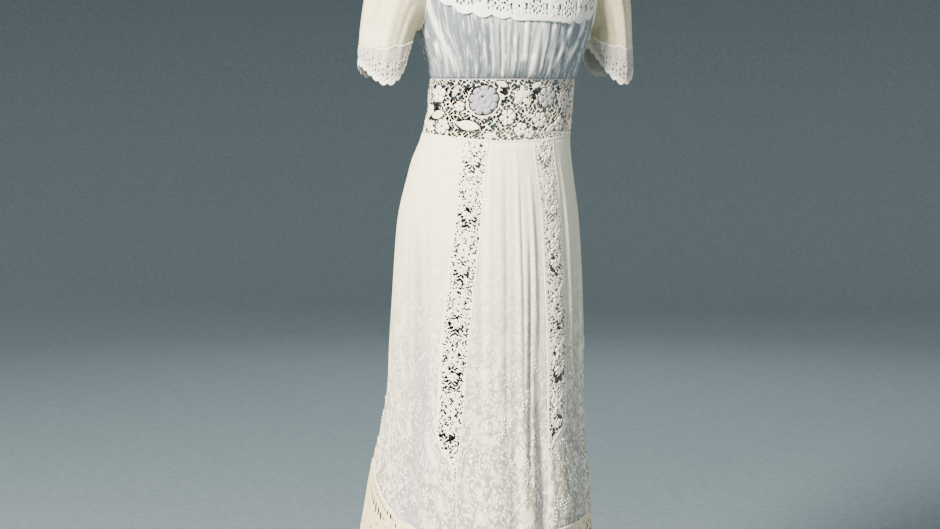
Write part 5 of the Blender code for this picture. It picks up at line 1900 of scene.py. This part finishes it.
@dataclass
class Sleeve:
    """A short cotton sleeve with its lace cuff."""

    form: SleeveForm
    finish: Finish = SLEEVE
    lace: Finish = CUFF
    around: int = 116
    along: int = 38
    wall: float = 0.0006
    width: float = 0.3
    length: float = 0.17
    # Trough depth at which the painted crease shade is full.
    trough_shade_scale: float = 0.0055
    cell: float = 0.0014
    cuff_shade: float = 0.72
    cuff_long: float = 0.155
    cuff_tall: float = 0.056
    cuff_drop: float = 0.044
    cuff_flowers: int = 12
    creases: tuple = table_of(
        Crease,
        (150.0, 122.0, 0.3, 0.98, 9.0, -0.0052), (118.0, 92.0, 0.05, 0.92, 10.0, 0.0032),
        (84.0, 70.0, 0.3, 0.98, 6.0, -0.003), (58.0, 66.0, 0.2, 0.95, 8.0, 0.002),
        (32.0, 44.0, 0.0, 0.8, 8.0, -0.0028), (10.0, 20.0, 0.1, 0.9, 8.0, 0.0022),
        (-24.0, -30.0, 0.1, 0.9, 9.0, -0.0022), (-70.0, -60.0, 0.2, 0.96, 8.0, 0.0022),
        (-120.0, -104.0, 0.25, 0.92, 9.0, -0.003), (-156.0, -140.0, 0.1, 0.8, 8.0, 0.0024))

    def turn(self, u: Array) -> Array:
        """Return the turn round the arm at a share of the way round."""
        return u * 360.0 if self.form.side is Side.RIGHT else -u * 360.0

    def crease_height(self, turn: Array, share: Array) -> Array:
        """Return how far the creases move the sleeve out."""
        out = np.zeros(np.broadcast(turn, share).shape)
        for crease in self.creases:
            along = np.clip((share - crease.top) / (crease.foot - crease.top), 0.0, 1.0)
            middle = crease.top_angle + (crease.foot_angle - crease.top_angle) * along
            away = wrapped(turn - middle)
            out += crease.depth * np.sin(math.pi * along) ** 0.8 * np.exp(-((away / crease.spread) ** 2))
        head = np.clip(1.0 - share / 0.3, 0.0, 1.0) * np.clip(share / 0.04, 0.0, 1.0)
        top = np.exp(-((wrapped(turn) / 75.0) ** 2))
        return out + 0.0013 * head * top * np.cos(np.radians(turn * 18.0))

    def surface(self, turn: Array, share: Array) -> Array:
        """Return points on the creased sleeve."""
        step = 0.5
        spot = self.form.points(turn, share)
        near = np.minimum(share, 0.99)
        round_it = self.form.points(turn + step, near) - self.form.points(turn - step, near)
        down = self.form.points(turn, near + 0.01) - self.form.points(turn, near)
        normal = unit(np.cross(down, round_it)) * self.form.side.value
        fade = np.clip((1.0 - share) / 0.06, 0.0, 1.0)
        return spot + normal * (self.crease_height(turn, share) * fade)[..., None]

    def build(self) -> None:
        """Make the sleeve and the two halves of its cuff."""
        word = self.form.side.name.lower()

        def place(u: Array, v: Array) -> Array:
            """Return points on the sleeve; v runs from the cuff to the armhole."""
            turn = self.turn(u)
            return self.surface(turn, (1.0 - v) * self.form.cuff_top(turn))

        loom = Loom(
            f"sleeve_cotton_{word}", place, columns=self.around, rows=self.along,
            size=lambda u, v: (u * self.width, v * self.length), wrap=True, block=1, wall=self.wall,
        )
        turn = self.turn(loom.u)
        share = (1.0 - loom.v) * self.form.cuff_top(turn)
        # Painted shade in the creases' troughs.
        trough_shade = -self.crease_height(turn, share) / self.trough_shade_scale
        # Painted shade on the inner front of the sleeve, towards the body, stronger near the armhole.
        under = np.exp(-((wrapped(turn - 140.0) / 55.0) ** 2)) * (0.9 - 0.3 * share)
        trough_shade = np.clip(trough_shade, 0.0, 0.8)
        loom.draft.dense = trough_shade + np.clip(under, 0.0, 1.0) * (1.0 - trough_shade)
        deliver(loom, self.finish, f"sleeve_{word}", Cut(self.width, self.length), Held.HUNG)
        for half, first in (("front", 0.0), ("back", 180.0)):
            self.cuff(word, half, first)

    def cuff(self, word: str, half: str, first: float) -> None:
        """Make half a cuff: a scalloped band of flowers and small gaps.

        Args:
            word: the side's name.
            half: whether it is the front or the back.
            first: degrees round the arm where it starts.
        """
        form = self.form
        left = form.side is Side.LEFT

        def turn(u: Array) -> Array:
            """Return the turn at a share of the way along the cuff."""
            share = 1.0 - u if left else u
            return first + 0.2 + 179.6 * share

        def place(u: Array, v: Array) -> Array:
            """Return points on the cuff; v runs from its foot to the sleeve."""
            top = form.cuff_top(turn(u))
            return self.surface(turn(u), 1.0 - (1.0 - top) * v)

        def size(u: Array, v: Array) -> tuple:
            """Return metres along the cuff and up from its foot."""
            spots = place(u, v)
            climb = np.linalg.norm(spots[-1] - spots[0], axis=-1)[None, :]
            run = np.concatenate([[0.0], np.cumsum(np.linalg.norm(np.diff(spots[0], axis=0), axis=1))])
            return run[None, :] + 0.0 * v, v * climb

        loom = Loom(
            f"cuff_lace_{word}_{half}", place, columns=round(self.cuff_long / self.cell),
            rows=round(self.cuff_drop / self.cell), size=size,
        )
        board = loom.draft
        high = board.y.max(axis=0)[None, :] - board.y
        long = float(board.x.max())
        count = self.cuff_flowers
        for number in range(count):
            x = long * (number + 0.5) / count
            beside = x + long / count / 2
            board.eyelets(x, 0.0082, 0.003, 4, 0.0012)
            board.cut(board.oval(x, 0.0172, 0.0026, 0.0014, 45.0 if number % 2 else -45.0))
            board.flower(x, 0.025, 0.0056, 5, 20.0 * number, eye=0.28)
            board.cut(board.oval(beside, 0.031, 0.0026, 0.0014, 70.0 if number % 3 else 110.0))
            board.cut(board.oval(beside, 0.02, 0.0022, 0.0013, 90.0))
            board.cut(board.oval(beside, 0.012, 0.0017, 0.0012, -40.0))
            board.eyelets(beside, 0.04, 0.0034, 4, 0.0012)
        shaded = np.clip((board.y - 0.0085) / 0.006, 0.0, 1.0) * self.cuff_shade
        board.tint = np.maximum(board.tint, shaded)
        board.add(0.0022 - high, 0.0006)
        wave = np.abs(np.sin(math.pi * count * board.x / long))
        edge = board.y - 0.0058 * (1.0 - wave ** 0.8)
        board.add(0.0022 - edge, 0.0007)
        board.keep(edge)
        deliver(loom, self.lace, f"cuff_{word}_{half}", Cut(self.cuff_long, self.cuff_tall), Held.HUNG)


@dataclass
class Flounce:
    """The deep lace flounce with its bars, dotted rows and scalloped hem."""

    form: SkirtForm
    finish: Finish = CREAM
    cell: float = 0.0033
    scallop: float = 0.0058
    back_cell: float = 0.004
    gap: float = 0.03
    tooth: float = 0.01
    bar_pitch: float = 0.013
    repeat: float = 0.062
    bar_rows: tuple = ((0.052, 0.068), (0.178, 0.194))
    flower_rows: tuple = (0.03, 0.092, 0.152, 0.222, 0.28, 0.336, 0.392)

    def build(self) -> None:
        """Make the front and the two backs."""
        for panel in panels(SIDE_SEAM):
            self.piece(panel)

    def piece(self, panel: Panel) -> None:
        """Make one piece of the flounce.

        Args:
            panel: its name and edges.
        """
        form, name = self.form, panel.name
        line = ArcLine.across(panel, self.gap, lambda a: form.points(a, np.full(a.shape, -1.3)))
        drop = float(form.flounce_top(line.angle(np.array([0.5])))[0] - form.hem)
        tall = drop * (1.02 if name == "front" else 1.06)
        cell = self.cell if name == "front" else self.back_cell
        loom = Loom(
            f"flounce_lace_{name}", lambda u, v: form.flounce(line.angle(u), 1.0 - v),
            columns=round(line.total / cell), rows=round(tall / cell),
            size=lambda u, v: (u * line.total, v * tall), block=4,
        )
        board = loom.draft
        top = (form.flounce_top(line.angle(loom.u)) - form.hem) / drop * tall
        self.draw(board, line.total, top)
        for side in (0.0, line.total):
            board.add(0.004 - np.abs(board.x - side), 0.0003)
        deliver(loom, self.finish, f"flounce_{name}", Cut(round(line.total * 1.05, 3), round(tall + 0.05, 3)),
                Held.HUNG)

    def draw(self, board: Draft, total: float, top: Array) -> None:
        """Draw the flounce's rows from the hem up.

        Args:
            board: the board to draw on.
            total: the flounce's width.
            top: height of its seam above the hem, at each point.
        """
        up = board.y * top / np.maximum(board.y.max(axis=0)[None, :], 1e-6)
        down = top - up
        board.y = up
        phase = np.mod(board.x / self.tooth, 1.0) - 0.5
        rise = np.clip((down - 0.005) / 0.009, 0.0, 1.0)
        triangle = np.minimum(0.001 + 0.0024 * rise - np.abs(phase) * self.tooth,
                              np.minimum(down - 0.005, 0.0142 - down))
        board.cut(triangle)
        board.add(0.0016 - np.abs(down - 0.0182), 0.0008)
        bars = (np.mod(board.x / self.bar_pitch, 1.0) - 0.5) * self.bar_pitch
        board.cut(np.minimum(0.0034 - np.abs(bars), np.minimum(down - 0.0235, 0.0365 - down)))
        board.add(0.0016 - np.abs(down - 0.0405), 0.0008)
        repeats = max(round(total / self.repeat), 2)
        wide = total / repeats
        for low, high in self.bar_rows:
            rung = np.minimum(0.004 - np.abs(bars), np.minimum(up - low, high - up))
            board.cut(rung)
            for edge in (low - 0.003, high + 0.003):
                board.add(0.0018 - np.abs(up - edge), 0.0009)
        for number in range(-1, repeats + 1):
            x = wide * (number + 0.5)
            for row, base in enumerate(self.flower_rows):
                cx = x + (wide / 2 if row % 2 else 0.0)
                board.flower(cx, base, 0.015, 6, 12.0 * number, eye=0.2)
                for way in (-1.0, 1.0):
                    board.leaf(cx + way * 0.0215, base + 0.005, 0.011, 0.0048, way * 35.0, holes=0)
                    board.cut(board.oval(cx + way * 0.0235, base - 0.01, 0.0044, 0.0026, way * 30.0))
                    board.cut(board.oval(cx + way * 0.012, base + 0.0185, 0.0036, 0.0024, way * -30.0))
        edge = up - self.scallop * (1.0 - np.abs(np.sin(math.pi * board.x / wide * 2)))
        board.add(0.004 - edge, 0.001)
        board.keep(edge)


@dataclass
class Embroidery:
    """Sprays of small raised leaves sewn over the lower part of the skirt."""

    form: SkirtForm
    bands: tuple
    finish: Finish = FLOSS
    sprays: int = 420
    leaves: int = 7
    top: float = -0.585
    full: float = -0.84
    band_clear: float = 2.4
    seam_clear: float = 1.6
    foot_clear: float = 0.985
    long: float = 0.0033
    wide: float = 0.0015
    rise: float = 0.0013
    lift: float = 0.0007
    seed: int = 11

    def build(self) -> None:
        """Sew the sprays on as one joined mesh."""
        chance = np.random.default_rng(self.seed)
        angle = chance.uniform(-180.0, 180.0, self.sprays * 3)
        z = chance.uniform(-1.03, self.top, self.sprays * 3)
        keep = chance.uniform(0.0, 1.0, z.size) < np.clip((self.top - z) / (self.top - self.full), 0.06, 1.0)
        angle, z = angle[keep][:self.sprays], z[keep][:self.sprays]
        lean = chance.uniform(-0.6, 0.6, angle.size) - math.pi / 2
        bend = chance.uniform(-0.9, 0.9, angle.size)
        along, leaf_turn, leaf_place = [], [], []
        for number in range(self.leaves):
            reach = 0.003 * (number + 0.5)
            way = lean + bend * number / self.leaves
            side = 1.0 if number % 2 else -1.0
            offset = np.stack([reach * np.cos(way) - side * 0.0016 * np.sin(way),
                               reach * np.sin(way) + side * 0.0016 * np.cos(way)], axis=-1)
            leaf_place.append(offset)
            leaf_turn.append(way + side * 0.75)
            along.append(np.stack([angle, z], axis=-1))
        place = np.concatenate(leaf_place)
        turn = np.concatenate(leaf_turn)
        root = np.concatenate(along)
        self.sew(root[:, 0], root[:, 1], place, turn)

    def metric(self, angle: Array, z: Array) -> tuple:
        """Return metres per degree round the skirt and the outward normals."""
        round_it = (self.form.points(angle + 0.25, z) - self.form.points(angle - 0.25, z)) / 0.5
        up = self.form.points(angle, z + 0.002) - self.form.points(angle, z - 0.002)
        return np.linalg.norm(round_it, axis=-1), unit(np.cross(round_it, up))

    def free(self, angle: Array, z: Array) -> Array:
        """Return which places are clear of bands, seams and flounce."""
        top = self.form.belt_foot(angle)
        seam = self.form.flounce_top(angle)
        share = (top - z) / (top - seam)
        clear = share < self.foot_clear
        for band in self.bands:
            inner = band.angle(share, False)
            outer = band.angle(share, True)
            low, high = np.minimum(inner, outer), np.maximum(inner, outer)
            clear &= (angle < low - self.band_clear) | (angle > high + self.band_clear)
        for seam_angle in (SIDE_SEAM, -SIDE_SEAM, 180.0, -180.0):
            clear &= np.abs(angle - seam_angle) > self.seam_clear
        return clear

    def sew(self, angle: Array, z: Array, place: Array, turn: Array) -> None:
        """Make the leaves.

        Args:
            angle: degrees round the skirt of each leaf's spray.
            z: height of each leaf's spray.
            place: metres across and up from the spray's root.
            turn: how each leaf is turned, in radians.
        """
        scale, _ = self.metric(angle, z)
        middle = angle + place[:, 0] / scale
        height = z + place[:, 1]
        good = self.free(middle, height)
        middle, height, turn, scale = middle[good], height[good], turn[good], scale[good]
        _, normal = self.metric(middle, height)
        outline = ((1.0, 0.0, 0), (0.45, 1.0, 0), (-0.45, 1.0, 0), (-1.0, 0.0, 0), (-0.45, -1.0, 0),
                   (0.45, -1.0, 0), (0.4, 0.0, 1), (-0.4, 0.0, 1))
        rings = []
        for u, v, up in outline:
            du = u * self.long * np.cos(turn) - v * self.wide * np.sin(turn)
            dv = u * self.long * np.sin(turn) + v * self.wide * np.cos(turn)
            spot = self.form.points(middle + du / scale, height + dv)
            rings.append(spot + normal * (self.lift - 0.0003 + (self.rise if up else 0.0)))
        points = np.stack(rings, axis=1)
        shape = ((0, 1, 6), (1, 2, 7, 6), (2, 3, 7), (3, 4, 7), (4, 5, 6, 7), (5, 0, 6), (5, 4, 3, 2, 1, 0))
        faces = [tuple(8 * leaf + corner for corner in face) for leaf in range(len(points)) for face in shape]
        make_object("skirt_whitework", points.reshape(-1, 3), faces, self.finish)


@dataclass
class Seams:
    """The corded seams and bound edges that join the pieces."""

    skirt: SkirtForm
    bodice: BodiceForm
    sleeves: tuple
    bands: tuple
    finish: Finish = SEAM

    def build(self) -> None:
        """Make each seam as a slim half round cord."""
        turns = np.linspace(-180.0, 180.0, 241)
        belt = self.skirt
        self.tape("belt_foot_seam", belt.gore(turns, np.full(turns.shape, 0.0005)), 0.0015, 0.0011,
                  closed=True)
        self.tape("flounce_seam", belt.gore(turns, np.full(turns.shape, 0.9985)), 0.0023, 0.0014, closed=True)
        shares = np.linspace(0.0, 1.0, 150)
        for band in self.bands:
            for outer in (False, True):
                word = band.side.name.lower()
                angles = band.angle(shares, outer)
                run = shares if not outer else shares[shares <= self.closing(band)]
                self.tape(f"band_seam_{word}_{'outer' if outer else 'inner'}",
                          belt.gore(angles[:len(run)], run), 0.0012, 0.0009)
        for name, angle in (("side_left", SIDE_SEAM), ("side_right", -SIDE_SEAM), ("centre_back", 180.0)):
            upright = np.concatenate([
                belt.gore(np.full(150, angle), shares),
                belt.flounce(np.full(70, angle), np.linspace(0.02, 1.0, 70)),
            ])
            self.tape(f"{name}_seam", upright, 0.0013, 0.0009)
        form = self.bodice
        neck = form.base(turns, np.full(turns.shape, 7.985))
        self.tape("neck_binding", neck, 0.0026, 0.0034, closed=True)
        levels = np.linspace(5.92, 8.0, 40)
        for name, angle in (("left", 90.0), ("right", -90.0)):
            self.tape(f"shoulder_seam_{name}", form.base(np.full(40, angle), levels), 0.0013, 0.0036)
        behind = form.base(np.full(60, 180.0), np.linspace(0.0, 3.2, 60))
        self.tape("back_opening_bodice", behind, 0.002, 0.0016)
        above = form.base(np.full(70, 180.0), np.linspace(3.05, 8.0, 70))
        self.tape("back_opening_yoke", above, 0.0018, 0.0036)
        for sleeve in self.sleeves:
            word = sleeve.form.side.name.lower()
            round_it = np.linspace(0.0, 360.0, 97)
            edge = sleeve.surface(round_it, np.full(97, 0.012))
            self.tape(f"armhole_seam_{word}", edge, 0.0018, 0.0012, closed=True)
            wrist = sleeve.surface(round_it, sleeve.form.cuff_top(round_it))
            self.tape(f"cuff_seam_{word}", wrist, 0.0016, 0.0012, closed=True)

    @staticmethod
    def closing(band: SkirtBand) -> float:
        """Return the share where a band's two edges meet."""
        meet = [edge.share for edge in band.edges if edge.inner == edge.outer]
        return min(meet)

    def tape(self, name: str, line: Array, half: float, rise: float, closed: bool = False) -> None:
        """Make a cord along a line on the dress.

        Args:
            name: the seam's name.
            line: points along the seam.
            half: half the cord's width.
            rise: height of the cord's middle line above the cloth's inner side.
            closed: whether the line closes on itself.
        """
        spots = line[:-1] if closed else line
        if closed:
            along = unit(np.roll(spots, -1, axis=0) - np.roll(spots, 1, axis=0))
        else:
            along = unit(np.gradient(spots, axis=0))
        centre = spots.mean(axis=0)
        away = spots - centre
        if closed:
            axis = unit(np.cross(away, along).sum(axis=0))
            outward = unit(np.cross(along, np.broadcast_to(axis, along.shape)))
            outward = outward * np.sign((outward * away).sum(axis=-1, keepdims=True).mean())
        else:
            radial = spots * np.array([1.0, 1.0, 0.0]) - np.array([-0.01, 0.03, 0.0])
            outward = unit(radial - along * (radial * along).sum(axis=-1, keepdims=True))
        across = unit(np.cross(outward, along))
        points = []
        sides = 8
        for corner in range(sides):
            way = 2 * math.pi * corner / sides
            offset = across * (half * math.cos(way)) + outward * (rise * 0.5 + 0.55 * half * math.sin(way))
            points.append(spots + offset)
        ring = np.stack(points, axis=1)
        count = len(spots)
        faces = []
        for here in range(count if closed else count - 1):
            there = (here + 1) % count
            for corner in range(sides):
                after = (corner + 1) % sides
                faces.append([here * sides + corner, here * sides + after,
                              there * sides + after, there * sides + corner])
        if not closed:
            faces.append(list(reversed(range(sides))))
            faces.append([(count - 1) * sides + corner for corner in range(sides)])
        make_object(name, ring.reshape(-1, 3), faces, self.finish)


# The studio


@dataclass(frozen=True)
class Studio:
    """Floor, backdrop, light and camera."""

    camera_at: tuple = (-0.922, -2.838, -0.285)
    aim: tuple = (-0.05, 0.015, -0.598)
    lens: float = 71.9
    floor: float = -1.412
    radius: float = 10.0
    height: float = 7.5
    corner: float = 5.0
    wall: Colour = (0.005, 0.04, 0.084, 1)
    ground: Colour = (0.22, 0.28, 0.31, 1)

    def build(self) -> None:
        """Make the studio."""
        self.sweep()
        self.lamp("key", (-2.9, -2.1, 1.7), (0.0, 0.0, -0.5), 1.0, 980.0, (1.0, 0.94, 0.82))
        self.lamp("fill", (1.6, -3.8, 0.2), (0.0, 0.0, -0.7), 2.6, 70.0, (0.94, 0.96, 1.0))
        self.lamp("back", (1.6, 3.8, 1.4), (0.0, 0.0, -0.7), 2.4, 60.0, (0.92, 0.96, 1.0))
        world = bpy.data.worlds.new("studio_air")
        world.use_nodes = True
        sky = world.node_tree.nodes["Background"]
        sky.inputs["Color"].default_value = (0.9, 0.95, 1.0, 1)
        sky.inputs["Strength"].default_value = 0.24
        bpy.context.scene.world = world
        self.camera()

    def sweep(self) -> None:
        """Make the floor and the round wall as one smooth sheet."""
        profile = [(0.02, self.floor)]
        profile += [(self.radius - self.corner, self.floor)]
        for step in range(1, 13):
            way = math.radians(90.0 * step / 12)
            profile.append((self.radius - self.corner + self.corner * math.sin(way),
                            self.floor + self.corner * (1.0 - math.cos(way))))
        profile.append((self.radius, self.floor + self.height))
        sides = 72
        points = []
        for reach, z in profile:
            for number in range(sides):
                way = 2 * math.pi * number / sides
                points.append((reach * math.cos(way), reach * math.sin(way), z))
        faces = [tuple(range(sides))]
        for row in range(len(profile) - 1):
            for number in range(sides):
                after = (number + 1) % sides
                faces.append((row * sides + number, row * sides + after,
                              (row + 1) * sides + after, (row + 1) * sides + number))
        mesh = bpy.data.meshes.new("studio_sweep")
        mesh.from_pydata(points, [], faces)
        mesh.shade_smooth()
        paper = bpy.data.materials.new("studio_paper")
        paper.use_nodes = True
        wires = Wiring(paper.node_tree)
        shader = paper.node_tree.nodes["Principled BSDF"]
        space = wires.node("ShaderNodeTexCoord").outputs["Object"]
        grain = wires.node("ShaderNodeTexNoise", {"Vector": space, "Scale": 60.0, "Detail": 2.0}).outputs[0]
        up = wires.node("ShaderNodeSeparateXYZ", {0: space}).outputs[2]
        colour = wires.mix(wires.ramp(up, self.floor, self.floor + self.corner), self.ground, self.wall)
        darker = tuple(0.93 * value for value in self.wall[:3]) + (1.0,)
        colour = wires.mix(wires.times(grain, 0.4), colour, darker)
        wires.join(colour, shader, "Base Color")
        shader.inputs["Roughness"].default_value = 0.95
        shader.inputs["Specular IOR Level"].default_value = 0.1
        mesh.materials.append(paper)
        sheet = bpy.data.objects.new("studio_sweep", mesh)
        bpy.context.scene.collection.objects.link(sheet)

    def lamp(self, name: str, spot: tuple, target: tuple, size: float, power: float, colour: tuple) -> None:
        """Hang a soft square lamp.

        Args:
            name: the lamp's name.
            spot: where it hangs.
            target: the point it faces.
            size: width of its face.
            power: watts.
            colour: colour of its light.
        """
        data = bpy.data.lights.new(name, "AREA")
        data.shape = "SQUARE"
        data.size = size
        data.energy = power
        data.color = colour
        lamp = bpy.data.objects.new(name, data)
        lamp.location = spot
        lamp.rotation_euler = (Vector(target) - Vector(spot)).to_track_quat("-Z", "Y").to_euler()
        bpy.context.scene.collection.objects.link(lamp)

    def camera(self) -> None:
        """Stand the camera where the photographer stood."""
        data = bpy.data.cameras.new("camera")
        data.lens = self.lens
        data.sensor_width = 36.0
        data.clip_start = 0.05
        data.clip_end = 60.0
        camera = bpy.data.objects.new("camera", data)
        camera.location = self.camera_at
        sight = Vector(self.aim) - Vector(self.camera_at)
        camera.rotation_euler = sight.to_track_quat("-Z", "Y").to_euler()
        bpy.context.scene.collection.objects.link(camera)
        bpy.context.scene.camera = camera


RIGHT_EDGES = table_of(
    BandEdge,
    (0.0, -18.5, -38.0), (0.195, -20.0, -38.0), (0.345, -24.0, -42.0), (0.477, -27.0, -44.5),
    (0.617, -29.5, -46.0), (0.727, -31.0, -46.5), (0.765, -31.3, -43.0), (0.8, -31.5, -35.5),
    (0.829, -31.5, -31.5), (1.0, -29.0, -29.0))
LEFT_EDGES = table_of(
    BandEdge,
    (0.0, 16.0, 36.0), (0.195, 18.5, 37.0), (0.345, 19.0, 36.5), (0.477, 20.0, 38.5), (0.617, 20.5, 38.0),
    (0.727, 20.0, 34.0), (0.765, 19.8, 24.0), (0.8, 19.5, 19.5), (1.0, 18.0, 18.0))


def main() -> None:
    """Build the dress and its studio, piece by piece."""
    logging.basicConfig(level=logging.INFO, format="%(name)s %(message)s", stream=sys.stdout)
    Studio().build()
    skirt = SkirtForm()
    bodice = BodiceForm()
    right = SkirtBand(skirt, Side.RIGHT, RIGHT_EDGES, foot=0.815)
    left = SkirtBand(skirt, Side.LEFT, LEFT_EDGES, foot=0.785, start=0.051)
    sleeves = tuple(Sleeve(SleeveForm(bodice, side)) for side in Side)
    Bodice(bodice).build()
    Yoke(bodice).build()
    Belt(skirt).build()
    Skirt(skirt, right, left).build()
    right.build()
    left.build()
    for sleeve in sleeves:
        sleeve.build()
    Flounce(skirt).build()
    Seams(skirt, bodice, sleeves, (right, left)).build()
    Embroidery(skirt, (right, left)).build()
    pieces = [piece for piece in bpy.data.objects if piece.type == "MESH"]
    count = sum(len(face.vertices) - 2 for piece in pieces for face in piece.data.polygons)
    LOG.info("triangles in all, with the solids and the studio: %d", count)
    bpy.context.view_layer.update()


if __name__ == "__main__":
    main()
